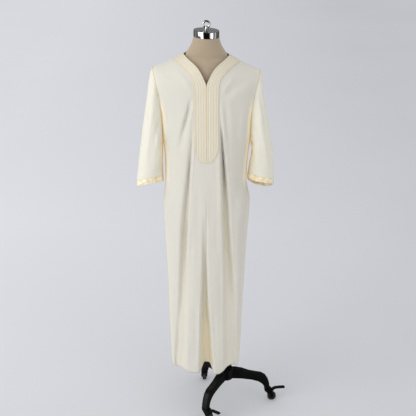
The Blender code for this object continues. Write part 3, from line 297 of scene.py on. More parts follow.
# Rows of the front panel. Down to the plastron's tip, they cross its band from the inner edge to its border.
FRONT_ROWS = (
    # inner edge x, inner edge z, border x, border z, side z, bow of the band
    (0.0875, 1.5570, 0.1305, 1.5348, 1.501, 1.0),
    (0.0800, 1.5545, 0.1220, 1.5333, 1.4965, 1.0),
    (0.0655, 1.5465, 0.1050, 1.5280, 1.481, 1.0),
    (0.0475, 1.5362, 0.0845, 1.5150, 1.458, 1.0),
    (0.0335, 1.5242, 0.0675, 1.5005, 1.433, 1.0),
    (0.0225, 1.5095, 0.0560, 1.4850, 1.406, 1.0),
    (0.0112, 1.4880, 0.0505, 1.4650, 1.376, 1.0),
    (0.0000, 1.4555, 0.0480, 1.4410, 1.343, 1.2),
    (0.0000, 1.3950, 0.0475, 1.4000, 1.305, 2.0),
    (0.0000, 1.3320, 0.0475, 1.3520, 1.263, 2.6),
    (0.0000, 1.2720, 0.0475, 1.3020, 1.215, 2.8),
    (0.0000, 1.2120, 0.0475, 1.2530, 1.192, 2.8),
    (0.0000, 1.1530, 0.0475, 1.2060, 1.164, 2.8),
    (0.0000, 1.1020, 0.0495, 1.1380, 1.110, 2.4),
    (0.0000, 1.0430, 0.0530, 1.0640, 1.050, 2.0),
    (0.0000, 0.9700, 0.0580, 0.9780, 0.970, 2.0),
)
LOWER_ROWS = (0.890, 0.810, 0.730, 0.645, 0.560, 0.475, 0.390, 0.305, 0.235, HEM_NOMINAL)
SLIT_ROW = 7
TIP_ROW = 12
BAND_COLUMNS = (0.0, 0.10, 0.37, 0.64, 0.90, 1.0)
PLEAT_COLUMNS = 4
SIDE_COLUMNS = 8
PLEAT_SHARE = 0.30

BACK_TOP = (0.0, 0.024, 0.047, 0.068, 0.0875, 0.109, 0.1305, 0.146, 0.162, 0.178, 0.194, 0.2095)
BACK_BAND_COLUMN = 6
BACK_BAND_SHARES = (0.0, 0.38, 1.0)
BACK_BAND_ROW = len(BACK_BAND_SHARES) - 1
BACK_NECK_DROP = 0.048
BACK_BAND_LOW = 1.511
BACK_BAND_RISE = 0.0098
BACK_BAND_BOW = 2.2
BACK_SHOULDER_DEPTH = 0.014
BACK_ROWS = (
    # height in the middle, height at the side, how level the row is
    (1.470, 1.458, 0.45),
    (1.425, 1.415, 0.80),
    (1.365, 1.360, 1.0),
    (1.300, 1.300, 1.0),
    (1.235, 1.250, 1.0),
    (1.180, 1.215, 1.0),
    (1.110, 1.130, 1.0),
    (1.040, 1.050, 1.0),
    (0.950, 0.955, 1.0),
    (0.860, 0.860, 1.0),
    (0.760, 0.760, 1.0),
    (0.660, 0.660, 1.0),
    (0.550, 0.550, 1.0),
    (0.440, 0.440, 1.0),
    (0.330, 0.330, 1.0),
    (0.250, 0.250, 1.0),
    (BACK_HEM, BACK_HEM, 1.0),
)

SLEEVE_RIGHT = (
    # share of the way down, outer x, outer z, inner x, inner z, front's y, back's y
    (0.00, 0.2095, 1.501, 0.172, 1.215, -0.053, 0.063),
    (0.12, 0.2205, 1.470, 0.1755, 1.196, -0.068, 0.068),
    (0.33, 0.2345, 1.378, 0.1770, 1.166, -0.075, 0.074),
    (0.58, 0.2530, 1.255, 0.1775, 1.130, -0.072, 0.075),
    (0.82, 0.2710, 1.130, 0.1780, 1.090, -0.065, 0.071),
    (1.00, 0.2815, 1.036, 0.1775, 1.058, -0.059, 0.063),
    (1.08, 0.2835, 1.013, 0.1770, 1.035, -0.057, 0.060),
)
SLEEVE_LEFT = (
    (0.00, 0.2095, 1.501, 0.173, 1.215, -0.053, 0.063),
    (0.12, 0.2175, 1.466, 0.1800, 1.200, -0.068, 0.068),
    (0.33, 0.2330, 1.360, 0.1840, 1.178, -0.075, 0.074),
    (0.58, 0.2545, 1.245, 0.1820, 1.150, -0.072, 0.075),
    (0.82, 0.2680, 1.128, 0.1750, 1.114, -0.065, 0.071),
    (1.00, 0.2715, 1.050, 0.1700, 1.074, -0.059, 0.063),
    (1.08, 0.2715, 1.027, 0.1690, 1.051, -0.057, 0.060),
)
SLEEVE_TILT = (
    # side, rise towards the front, fall towards the back, for each metre of depth
    (-1, 0.33, 0.36),
    (1, 0.20, 0.80),
)
SLEEVE_SQUARENESS = 2.3
TILT_FROM = 0.35
CUFF_END = 1.08
SLEEVE_CREASES = (
    # start turn, start share, end turn, end share, half width in turns, depth
    (0.04, 0.02, 0.07, 0.80, 0.020, 0.0020),
    (0.13, 0.00, 0.15, 0.62, 0.022, 0.0022),
    (0.22, 0.04, 0.20, 0.95, 0.024, -0.0018),
    (0.31, 0.02, 0.27, 0.55, 0.022, 0.0026),
    (0.38, 0.10, 0.34, 0.90, 0.020, -0.0018),
    (0.44, 0.06, 0.36, 0.42, 0.018, 0.0030),
    (0.52, 0.10, 0.54, 0.70, 0.022, 0.0020),
    (0.62, 0.04, 0.64, 0.60, 0.022, 0.0026),
    (0.70, 0.10, 0.74, 0.95, 0.024, -0.0020),
    (0.80, 0.02, 0.78, 0.66, 0.022, 0.0026),
    (0.90, 0.08, 0.92, 0.85, 0.020, 0.0022),
)


def colour_setting(name, description, default):
    return bpy.props.FloatVectorProperty(
        name=name, description=description, default=default, subtype="COLOR", size=3
    )


def amount_setting(name, description, default, low, high, **kind):
    return bpy.props.FloatProperty(
        name=name, description=description, default=default, min=low, max=high, **kind
    )


class RobeClothSettings(bpy.types.PropertyGroup):
    """Sizes and colours of the robe's cloth"""

    cloth_thickness: amount_setting(
        "Cloth thickness", "Thickness of the robe's cloth", 0.0011, 0.0003, 0.002, unit="LENGTH"
    )
    crease_strength: amount_setting(
        "Crease strength",
        "How deep the fine creases are, where 1 is as drawn",
        1.35,
        0.0,
        2.0,
        subtype="FACTOR",
    )
    cream: colour_setting("Cream", "Colour of the robe's cloth", (0.780, 0.755, 0.665))
    # Painted light: the sleeves take a lighter, warmer copy of the robe's cream.
    sleeve_lit_cream: colour_setting(
        "Sleeve cream", "The warmer cream that the sleeves show", (0.890, 0.866, 0.740)
    )
    # Painted shade: a golden colour that the cloth takes deep in its folds, in place of the shade there.
    painted_fold_shade: colour_setting(
        "Fold tint", "The golden tone that gathers deep in the folds", (0.82, 0.74, 0.54)
    )
    plastron_ground: colour_setting(
        "Plastron ground", "Colour of the cloth under the plastron's stitching", (0.650, 0.580, 0.435)
    )
    thread_gold: colour_setting("Gold thread", "Colour of the braids", (0.745, 0.665, 0.475))
    thread_pale: colour_setting("Pale thread", "Colour of the plastron's stitching", (0.760, 0.705, 0.560))
    # The piping is real, and its gold also paints the golden shade along the armholes and sides.
    piping: colour_setting("Piping", "Colour of the seams' thin piping", (0.750, 0.610, 0.350))
    # Painted sheen: the cuffs' satin in a lit and a deep copy of one colour, mixed in patches.
    satin_sheen_tone: colour_setting("Light satin", "The light tone of the cuffs' satin", (0.95, 0.87, 0.66))
    satin_unlit_tone: colour_setting("Deep satin", "The deep tone of the cuffs' satin", (0.80, 0.62, 0.31))


class RobeStandSettings(bpy.types.PropertyGroup):
    """Colours of the dress form and its stand"""

    jersey: colour_setting("Jersey", "Colour of the form's cover", (0.410, 0.325, 0.225))
    chrome: colour_setting("Chrome", "Colour of the chromed metal", (0.78, 0.78, 0.79))
    black_paint: colour_setting("Black paint", "Colour of the cast base's paint", (0.0012, 0.0012, 0.0012))


class RobeStageSettings(bpy.types.PropertyGroup):
    """The floor, the lights and the camera"""

    floor_tone: colour_setting("Floor", "Colour of the plain floor", (0.68, 0.684, 0.70))
    floor_glow: amount_setting(
        "Floor glow", "A little light of the floor's own, as from a lit studio sweep", 0.13, 0.0, 1.0
    )
    sky_strength: amount_setting("Sky strength", "Strength of the even light from all round", 0.90, 0.0, 3.0)
    key_power: amount_setting(
        "Key power", "Power of the large soft light on the left", 76.0, 0.0, 500.0, unit="POWER"
    )
    fill_power: amount_setting(
        "Fill power", "Power of the weak light on the right", 12.0, 0.0, 500.0, unit="POWER"
    )
    lens: amount_setting("Lens", "The camera's focal length in millimetres", 89.85, 20.0, 200.0)


def gentle_slopes(slope):
    """Slopes at the rows of a table, from those between them, so that no line through them overshoots."""
    product = slope[:-1] * slope[1:]
    total = np.where(product > 0, slope[:-1] + slope[1:], 1.0)
    inner = np.where(product > 0, 2.0 * product / total, 0.0)
    return np.concatenate([slope[:1], inner, slope[-1:]])


def curved_between(share, low, high, leave, arrive):
    """A smooth line from low to high that leaves and arrives at these slopes."""
    square = share * share
    cube = square * share
    straight = (2 * cube - 3 * square + 1) * low + (3 * square - 2 * cube) * high
    return straight + (cube - 2 * square + share) * leave + (cube - square) * arrive


def smooth_between(rows, value, column, key=0):
    """The value of one column of a table, on a smooth line through its rows that doesn't overshoot."""
    at = np.array([row[key] for row in rows], float)
    known = np.array([row[column] for row in rows], float)
    if at[0] > at[-1]:
        at = at[::-1]
        known = known[::-1]
    step = np.diff(at)
    tangent = gentle_slopes(np.diff(known) / step)
    value = np.clip(np.asarray(value, float), at[0], at[-1])
    index = np.clip(np.searchsorted(at, value) - 1, 0, len(step) - 1)
    share = (value - at[index]) / step[index]
    leave = step[index] * tangent[index]
    arrive = step[index] * tangent[index + 1]
    return curved_between(share, known[index], known[index + 1], leave, arrive)


def eased(share):
    share = np.clip(share, 0.0, 1.0)
    return share * share * (3.0 - 2.0 * share)


def drooped(points):
    """Lowers what is on the wearer's left and raises what is on the right, near the shoulders."""
    moved = np.array(points, float)
    moved[..., 2] -= smooth_between(DROOP_BY_HEIGHT, moved[..., 2], 1) * moved[..., 0]
    return moved


def settled(points):
    """Moves points from the neck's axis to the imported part's frame."""
    return drooped(points) + np.array([NECK_AXIS.x, NECK_AXIS.y, 0.0])


def side_of(x, z):
    """How far out the robe's side is, at this height on the side that x is on."""
    return np.where(np.asarray(x) < 0, smooth_between(BODY, z, 1), smooth_between(BODY, z, 2))


def ridge_height(x):
    return smooth_between(RIDGE, np.abs(x), 1)


def over_shoulder(x, z, lower=0.0):
    """0 on the shoulder's ridge, growing to 1 where the cloth hangs straight."""
    share = (ridge_height(x) - lower - z) / smooth_between(RIDGE, np.abs(x), 2)
    return np.sqrt(np.clip(1.0 - (1.0 - np.clip(share, 1e-4, 1.0)) ** 2, 0.0, 1.0))


def armhole_depth(z):
    share = np.clip((ARMHOLE_ROUND - z) / (ARMHOLE_ROUND - UNDERARM), 0.0, 1.0)
    return ARMHOLE_DEPTH * np.sqrt(1.0 - share**2)


def fold_push(x, z, folds):
    total = np.zeros(np.broadcast(x, z).shape)
    for rows in folds:
        away = np.abs(x - smooth_between(rows, z, 1)) / smooth_between(rows, z, 3)
        total = total + smooth_between(rows, z, 2) * eased((1.0 - away) / FOLD_SOFTNESS)
    room = eased((side_of(x, z) - np.abs(x)) / FOLDS_STOP_AT_SIDE)
    return total * room


def crease_shape(along, aside, fade_in, swell):
    """A soft trough, 1 deep in its middle, with a faint swell on one side."""
    fade = eased(along / fade_in) * eased((1.0 - along) / CREASE_FADE_OUT)
    return fade * (np.exp(-(aside**2)) - swell * np.exp(-((aside - SWELL_AWAY) ** 2) / SWELL_WIDTH))


def crease_push(x, z, creases):
    """How deep a panel's creases push in, with the strength that the user chose."""
    total = np.zeros(np.broadcast(x, z).shape)
    for start_x, start_z, end_x, end_z, bow, half, depth in creases:
        run = np.array([end_x - start_x, end_z - start_z])
        length = np.linalg.norm(run)
        run /= length
        along = ((x - start_x) * run[0] + (z - start_z) * run[1]) / length
        aside = (x - start_x) * -run[1] + (z - start_z) * run[0]
        aside = (aside - bow * 4.0 * along * (1.0 - along)) / half
        total = total + depth * crease_shape(along, aside, 0.30, 0.45)
    room = eased((side_of(x, z) - np.abs(x)) / FOLDS_STOP_AT_SIDE)
    return total * room * bpy.context.scene.robe_cloth.crease_strength


def ripple(x, z, facing):
    """The slight unevenness of hanging cloth."""
    slow = np.sin(31.0 * x + 2.1 * facing) * np.sin(4.3 * z + 7.0 * x + facing)
    mid = np.sin(67.0 * x - 5.0 * z + 1.3) * np.sin(9.1 * z + 1.7 * facing)
    return 0.00045 * slow + 0.00030 * mid


def robe_y(x, z, facing, fine=False):
    """The y of the robe's inner face: facing is -1 for the front and 1 for the back."""
    x = np.asarray(x, float)
    z = np.asarray(z, float)
    column = 3 if facing < 0 else 4
    depth = np.abs(smooth_between(BODY, z, column) - SIDE_Y)
    closing = np.clip(1.0 - (np.abs(x) / side_of(x, z)) ** SQUARENESS, 0.0, 1.0)
    opening = armhole_depth(z)
    deep = np.sqrt(opening**2 + (depth**2 - opening**2) * closing ** (2.0 / SQUARENESS))
    turn = over_shoulder(x, z)
    rest = SIDE_Y + (RIDGE_Y - SIDE_Y) * eased((z - UNDERARM) / MIDDLE_SHIFT)
    push = fold_push(x, z, FRONT_PLEATS if facing < 0 else BACK_PLEATS)
    if fine:
        steady = eased((turn - 0.30) / 0.5)
        creases = crease_push(x, z, FRONT_CREASES if facing < 0 else BACK_CREASES)
        push = push + (creases + ripple(x, z, facing)) * steady
    return rest + facing * (deep * turn - push)


def walked_row(x_from, x_to, z_at, facing):
    """Fine steps along a row: x, share of the way across, and share of the length of cloth."""
    fine = np.linspace(x_from, x_to, WALK_STEPS)
    bend = np.linspace(0.0, 1.0, WALK_STEPS)
    height = z_at(bend)
    points = np.stack([fine, robe_y(fine, height, facing), height], -1)
    walked = np.concatenate([[0.0], np.cumsum(np.linalg.norm(np.diff(points, axis=0), axis=1))])
    return fine, bend, walked / walked[-1]


def evenly_along(x_from, x_to, z_at, facing, shares):
    fine, bend, walked = walked_row(x_from, x_to, z_at, facing)
    return np.interp(shares, walked, fine), np.interp(shares, walked, bend)


def share_at(x, x_from, x_to, z_at):
    fine, _, walked = walked_row(x_from, x_to, z_at, -1)
    return float(np.interp(abs(x), np.abs(fine), walked))


def past_border(pleat_share):
    """Shares from the band's border out: evenly up to the pleat's line, then evenly to the side."""
    near = np.linspace(0.0, pleat_share, PLEAT_COLUMNS + 1)[1:]
    far = np.linspace(pleat_share, 1.0, SIDE_COLUMNS + 1)[1:]
    return np.concatenate([near, far])


def band_length_share(x_row, z_row, border):
    points = np.stack([x_row, robe_y(x_row, z_row, -1), z_row], -1)
    steps = np.linalg.norm(np.diff(points, axis=0), axis=1)
    return steps[:border].sum() / steps.sum()


def front_table(side):
    """Rows of (x, z) from the neckline's edge or the middle, out to the armhole or the side seam."""
    band = np.array(BAND_COLUMNS)
    even = np.linspace(0.0, 1.0, len(band))
    pleat = FRONT_PLEATS[1 if side > 0 else 2]
    slit_z = FRONT_ROWS[SLIT_ROW][3]
    tip_z = FRONT_ROWS[TIP_ROW][3]
    rows = []
    band_share = None
    for index, (edge_x, edge_z, border_x, border_z, side_z, bow) in enumerate(FRONT_ROWS):
        relax = eased((index - TIP_ROW) / (len(FRONT_ROWS) - TIP_ROW))
        columns = band * (1 - relax) + even * relax
        x_band = side * (edge_x + (border_x - edge_x) * columns)
        z_band = edge_z + (border_z - edge_z) * columns**bow
        side_x = side * side_of(side, side_z)

        def height(bend, border_z=border_z, side_z=side_z):
            return border_z + (side_z - border_z) * bend

        at_pleat = share_at(smooth_between(pleat, height(0.3), 1), side * border_x, side_x, height)
        near = eased((slit_z - border_z) / (slit_z - tip_z))
        at_pleat = PLEAT_SHARE * (1 - near) + at_pleat * near
        x_out, bend = evenly_along(side * border_x, side_x, height, -1, past_border(at_pleat))
        rows.append((np.concatenate([x_band, x_out]), np.concatenate([z_band, height(bend)])))
        band_share = band_length_share(rows[-1][0], rows[-1][1], len(band) - 1)
    for z_row in LOWER_ROWS:
        side_x = side * side_of(side, z_row)

        def level(bend, z_row=z_row):
            return z_row + 0.0 * bend

        at_pleat = share_at(smooth_between(pleat, z_row, 1), 0.0, side_x, level)
        outward = past_border((at_pleat - band_share) / (1 - band_share))
        shares = np.concatenate([even * band_share, band_share + (1 - band_share) * outward])
        x_row, _ = evenly_along(0.0, side_x, level, -1, shares)
        shaping = eased((HEM_SHAPED_BELOW - z_row) / (HEM_SHAPED_BELOW - HEM_NOMINAL))
        z_shaped = z_row + (smooth_between(FRONT_HEM, x_row, 1) - HEM_NOMINAL) * shaping
        rows.append((x_row * side_of(side, z_shaped) / side_of(side, z_row), z_shaped))
    return np.array([row[0] for row in rows]), np.array([row[1] for row in rows])


def back_table(side):
    """Rows of (x, z) of the back panel from its middle out to the armhole or the side seam."""
    top_x = np.array(BACK_TOP)
    share = np.linspace(0.0, 1.0, len(top_x))
    ridge = ridge_height(top_x)
    dip = BACK_NECK_DROP * eased(1.0 - top_x / NECK_SIDE)
    top_z = np.where(top_x < NECK_SIDE, ridge - dip, ridge)
    bend = (top_x / BACK_TOP[BACK_BAND_COLUMN]) ** BACK_BAND_BOW
    band_z = BACK_BAND_LOW + BACK_BAND_RISE * bend
    low_z = np.where(top_x <= BACK_TOP[BACK_BAND_COLUMN], band_z, ridge - BACK_SHOULDER_DEPTH)
    rows = []
    for down in BACK_BAND_SHARES:
        z_row = top_z + (low_z - top_z) * down
        limit = side_of(side, z_row[-1])
        reach = eased((top_x - NECK_SIDE) / (SHOULDER_TIP - NECK_SIDE))
        rows.append((side * top_x * (1.0 + (limit / SHOULDER_TIP - 1.0) * reach), z_row))
    start_x = np.abs(rows[-1][0])
    start_z = rows[-1][1]
    for centre_z, side_z, level in BACK_ROWS:
        side_x = side_of(side, side_z)

        def height(bend, centre_z=centre_z, side_z=side_z):
            return centre_z + (side_z - centre_z) * bend

        x_even, bend = evenly_along(0.0, side * side_x, height, 1, share)
        x_start = side * start_x * side_x / start_x[-1]
        x_row = x_start * (1 - level) + x_even * level
        z_row = (start_z - start_z[0] + centre_z) * (1 - level) + height(bend) * level
        z_row[-1] = side_z
        x_row[-1] = side * side_x
        rows.append((x_row, z_row))
    return np.array([row[0] for row in rows]), np.array([row[1] for row in rows])


def read_along(table, at):
    """Rows of a table at fractional places, on smooth lines through its rows that don't overshoot."""
    table = np.asarray(table, float)
    tangent = gentle_slopes(np.diff(table, axis=0))
    at = np.clip(np.asarray(at, float), 0.0, len(table) - 1.0)
    low = np.clip(np.floor(at).astype(int), 0, len(table) - 2)
    share = (at - low).reshape((-1,) + (1,) * (table.ndim - 1))
    return curved_between(share, table[low], table[low + 1], tangent[low], tangent[low + 1])


def read_grid(table, rows, columns):
    """A table at every pair of these fractional rows and columns."""
    return read_along(read_along(table, rows).T, columns).T


def evenly_spread(points, count):
    """Fractional places along a line of points, at even distances along it."""
    walked = np.concatenate([[0.0], np.cumsum(np.linalg.norm(np.diff(points, axis=0), axis=1))])
    places = np.linspace(0.0, 1.0, len(points)) * (len(points) - 1)
    return np.interp(np.linspace(0.0, walked[-1], count), walked, places)


TABLES = {}


def panel_table(side, facing):
    if (side, facing) not in TABLES:
        TABLES[side, facing] = front_table(side) if facing < 0 else back_table(side)
    return TABLES[side, facing]


def panel_points(side, facing, rows, columns, lift=CLOTH_OUT):
    """Points of a panel's half at fractional rows and columns of its table, lifted off the form's side."""
    x_table, z_table = panel_table(side, facing)
    x = read_grid(x_table, rows, columns)
    z = read_grid(z_table, rows, columns)
    last = x_table.shape[1] - 1.0
    edge_x = read_grid(x_table, rows, [last])
    edge_z = read_grid(z_table, rows, [last])
    short = side * side_of(edge_x, edge_z) / edge_x - 1.0
    x = x * (1.0 + short * (x / edge_x) ** 2)
    near_ridge = np.clip(1.0 - np.asarray(rows), 0.0, 1.0)[:, None]
    sewn = np.abs(x) >= NECK_SIDE - 1e-4
    z = np.where(sewn, z + (ridge_height(x) - z) * near_ridge * (near_ridge > 0.999), z)
    y = robe_y(x, z, facing, fine=True)
    points = np.stack([x, y, z], -1)
    normals = grid_normals(points, facing * side)
    at_side_seam = (np.asarray(columns)[None, :] > last - 1e-6) & (z < UNDERARM)
    normals = np.where(at_side_seam[..., None], np.array([float(side), 0.0, 0.0]), normals)
    return points + normals * lift


def grid_normals(points, turn):
    """Directions square to a grid of points. turn is 1 or -1, so that they point out of the cloth."""
    down = np.gradient(points, axis=0)
    across = np.gradient(points, axis=1)
    normals = np.cross(across, down) * turn
    length = np.linalg.norm(normals, axis=-1, keepdims=True)
    return normals / np.maximum(length, TINY)


def row_count(facing):
    return len(panel_table(1, facing)[0])


def column_count(facing):
    return panel_table(1, facing)[0].shape[1]


def spread_rows(facing, count, column):
    """Fractional rows at even distances down a column of the panel."""
    fine = np.linspace(0.0, row_count(facing) - 1.0, SPREAD_STEPS)
    points = panel_points(1, facing, fine, np.array([column, column + 0.01]))
    places = evenly_spread(points[:, 0], count)
    return np.interp(places, np.arange(SPREAD_STEPS), fine)


def spread_columns(facing, count, row):
    """Fractional columns at even distances across a row of the panel."""
    fine = np.linspace(0.0, column_count(facing) - 1.0, SPREAD_STEPS)
    points = panel_points(1, facing, np.array([row, row + 0.01]), fine)
    places = evenly_spread(points[0], count)
    return np.interp(places, np.arange(SPREAD_STEPS), fine)


def armhole_ring(side, turns):
    """The oval that the sleeve is sewn to: turn 0 is the shoulder tip, a half turn is the underarm."""
    turns = np.asarray(turns) % 1.0
    facing = np.where(turns < 0.5, -1.0, 1.0)
    share = 1.0 - np.abs(1.0 - 2.0 * turns)
    drop = 0.5 - 0.5 * np.cos(np.pi * share)
    top = SHOULDER_TIP_Z - TIP_CLEARANCE
    z = top - (top - UNDERARM) * drop
    x = side * side_of(side, z)
    y = np.where(facing < 0, robe_y(x, z, -1), robe_y(x, z, 1))
    inside = x * JUST_INSIDE
    y_inside = np.where(facing < 0, robe_y(inside, z, -1), robe_y(inside, z, 1))
    outward = np.stack([x - inside, y - y_inside, np.zeros_like(x)], -1)
    return np.stack([x, y, z], -1), outward / np.linalg.norm(outward, axis=-1, keepdims=True)


def sleeve_oval(side, share, turns):
    """One ring of the hanging sleeve, at this share of the way from the shoulder to the cuff."""
    rows = SLEEVE_RIGHT if side < 0 else SLEEVE_LEFT
    outer = np.array([side * smooth_between(rows, share, 1), 0.0, smooth_between(rows, share, 2)])
    inner = np.array([side * smooth_between(rows, share, 3), 0.0, smooth_between(rows, share, 4)])
    angle = 2.0 * np.pi * np.asarray(turns)
    across = np.sign(np.cos(angle)) * np.abs(np.cos(angle)) ** (2.0 / SLEEVE_SQUARENESS)
    deep = np.sign(np.sin(angle)) * np.abs(np.sin(angle)) ** (2.0 / SLEEVE_SQUARENESS)
    points = (outer + inner) / 2.0 + (outer - inner) / 2.0 * across[:, None]
    front = smooth_between(rows, share, 5) - SIDE_Y
    back = smooth_between(rows, share, 6) - SIDE_Y
    y = np.where(deep > 0, front * deep, -back * deep)
    points[:, 1] = SIDE_Y + y
    _, rise, fall = SLEEVE_TILT[0] if side < 0 else SLEEVE_TILT[1]
    tilting = eased((share - TILT_FROM) / (1.0 - TILT_FROM))
    points[:, 2] -= np.where(y < 0, rise * y, fall * y) * tilting
    return points


def sleeve_creases(side, shares, turns):
    """How deep a sleeve's creases push in, with a slight wave all round."""
    turn, share = np.meshgrid(turns, shares)
    total = np.zeros(turn.shape)
    for start_turn, start_share, end_turn, end_share, half, depth in SLEEVE_CREASES:
        along = (share - start_share) / (end_share - start_share)
        centre = start_turn + (end_turn - start_turn) * along + 0.012 * side * np.sin(5.0 * share)
        aside = ((turn - centre + 0.5) % 1.0 - 0.5) / half
        total += depth * crease_shape(along, aside, 0.25, 0.4)
    wave = np.sin(2 * np.pi * (5 * turn + 0.9 * share + 0.2 * side)) * np.sin(6.0 * share + 1.0)
    return total * bpy.context.scene.robe_cloth.crease_strength + 0.0006 * wave * eased(share / 0.2)


def sleeve_points(side, shares, turns, lift=CLOTH_OUT):
    """Rings down the sleeve. The first follows the armhole from outside, and the rest ease away from it."""
    hole, outward = armhole_ring(side, turns)
    first = sleeve_oval(side, 0.0, turns)
    grid = []
    for share in shares:
        hold = 1.0 - eased(share / 0.30)
        shift = (hole - first) + outward * ARMHOLE_STEP
        grid.append(sleeve_oval(side, share, turns) + shift * hold)
    grid = np.array(grid)
    normals = ring_normals(grid, side)
    push = sleeve_creases(side, shares, turns)[..., None]
    return grid + normals * (lift - push)


def ring_normals(grid, side):
    """Directions out of a tube whose columns close up. The last column is the first again."""
    down = np.gradient(grid, axis=0)
    ring = grid[:, :-1]
    around = np.roll(ring, -1, axis=1) - np.roll(ring, 1, axis=1)
    around = np.concatenate([around, around[:, :1]], axis=1)
    normals = np.cross(around, down) * side
    return normals / np.maximum(np.linalg.norm(normals, axis=-1, keepdims=True), TINY)


def cloth_places(points):
    """Where each point of a grid lies on the flat cloth, in metres."""
    across = np.linalg.norm(np.diff(points, axis=1), axis=-1)
    across = np.concatenate([np.zeros((len(points), 1)), np.cumsum(across, axis=1)], axis=1)
    across = across - across[:, across.shape[1] // 2][:, None]
    down = np.linalg.norm(np.diff(points, axis=0), axis=-1)
    down = np.concatenate([np.zeros((1, points.shape[1])), np.cumsum(down, axis=0)], axis=0)
    middle = down[:, points.shape[1] // 2][:, None]
    return np.stack([across, -np.broadcast_to(middle, across.shape)], -1)


def grid_mesh(name, grids, materials, merge=SAME_POINT):
    """A mesh of bmesh grids moved onto grids of points, with their places on the cloth as its UV map."""
    bm = bmesh.new()
    uv = bm.loops.layers.uv.new("cloth")
    # Each point's share of painted fold shade, or of thread cover on stitched pieces.
    fold = bm.verts.layers.float.new("fold")
    for points, folds in grids:
        rows, columns = points.shape[:2]
        places = cloth_places(points)
        old = len(bm.verts)
        old_faces = len(bm.faces)
        bmesh.ops.create_grid(bm, x_segments=columns - 1, y_segments=rows - 1, size=1.0)
        bm.verts.ensure_lookup_table()
        bm.faces.ensure_lookup_table()
        place_of = {}
        for vert in bm.verts[old:]:
            column = round((vert.co.x + 1.0) / 2.0 * (columns - 1))
            row = round((1.0 - vert.co.y) / 2.0 * (rows - 1))
            place_of[vert] = (row, column)
        for vert, (row, column) in place_of.items():
            vert.co = points[row, column]
            vert[fold] = folds[row, column]
        for face in bm.faces[old_faces:]:
            for loop in face.loops:
                loop[uv].uv = places[place_of[loop.vert]]
    if merge:
        bmesh.ops.remove_doubles(bm, verts=bm.verts, dist=merge)
    return finished_mesh(name, bm, materials)


def finished_mesh(name, bm, materials, smooth=True):
    for face in bm.faces:
        face.smooth = smooth
    mesh = bpy.data.meshes.new(name)
    bm.to_mesh(mesh)
    bm.free()
    for material in materials:
        mesh.materials.append(material)
    made = bpy.data.objects.new(name, mesh)
    bpy.context.scene.collection.objects.link(made)
    return made


def thicken(made, thickness):
    """Gives a cloth surface its thickness, inwards."""
    wall = made.modifiers.new("thickness", "SOLIDIFY")
    wall.thickness = thickness
    wall.offset = -1.0
    wall.use_rim = True
    return made


def area_of(points):
    across = points[:-1, 1:] - points[:-1, :-1]
    down = points[1:, :-1] - points[:-1, :-1]
    return float(np.linalg.norm(np.cross(across, down), axis=-1).sum())


def flat_size(points):
    """The widest row and the longest column of a grid of cloth, in metres."""
    wide = np.linalg.norm(np.diff(points, axis=1), axis=-1).sum(axis=1).max()
    long = np.linalg.norm(np.diff(points, axis=0), axis=-1).sum(axis=0).max()
    return float(wide), float(long)


def add_node(tree, kind, inputs=None, **settings):
    """A node with these settings. Each input is a value, or a socket to link from."""
    made = tree.nodes.new(kind)
    for name, value in settings.items():
        setattr(made, name, value)
    for name, value in (inputs or {}).items():
        give(tree, value, made.inputs[name])
    return made


def give(tree, value, socket):
    """Links a socket's value, or sets it."""
    if isinstance(value, bpy.types.NodeSocket):
        tree.links.new(value, socket)
    else:
        socket.default_value = value


def maths(tree, operation, first, second=0.0, clamp=False):
    made = add_node(tree, "ShaderNodeMath", operation=operation, use_clamp=clamp)
    for socket, value in zip(made.inputs, (first, second)):
        give(tree, value, socket)
    return made.outputs[0]


def mixed(tree, share, first, second):
    """A colour between two colours."""
    made = add_node(tree, "ShaderNodeMix", data_type="RGBA")
    for socket, value in zip((made.inputs[0], made.inputs[6], made.inputs[7]), (share, first, second)):
        give(tree, value, socket)
    return made.outputs[2]


def ranged(tree, value, low, high, to_low=0.0, to_high=1.0):
    made = add_node(tree, "ShaderNodeMapRange")
    for name, given in (
        ("Value", value),
        ("From Min", low),
        ("From Max", high),
        ("To Min", to_low),
        ("To Max", to_high),
    ):
        give(tree, given, made.inputs[name])
    return made.outputs["Result"]


def new_group(name, inputs, outputs):
    """An empty shader group with named sockets. Each is a name, a socket type and a default."""
    group = bpy.data.node_groups.new(name, "ShaderNodeTree")
    for label, kind, default in inputs:
        socket = group.interface.new_socket(name=label, in_out="INPUT", socket_type=kind)
        if default is not None:
            socket.default_value = default
    for label, kind in outputs:
        group.interface.new_socket(name=label, in_out="OUTPUT", socket_type=kind)
    entry = group.nodes.new("NodeGroupInput")
    end = group.nodes.new("NodeGroupOutput")
    return group, entry.outputs, end.inputs


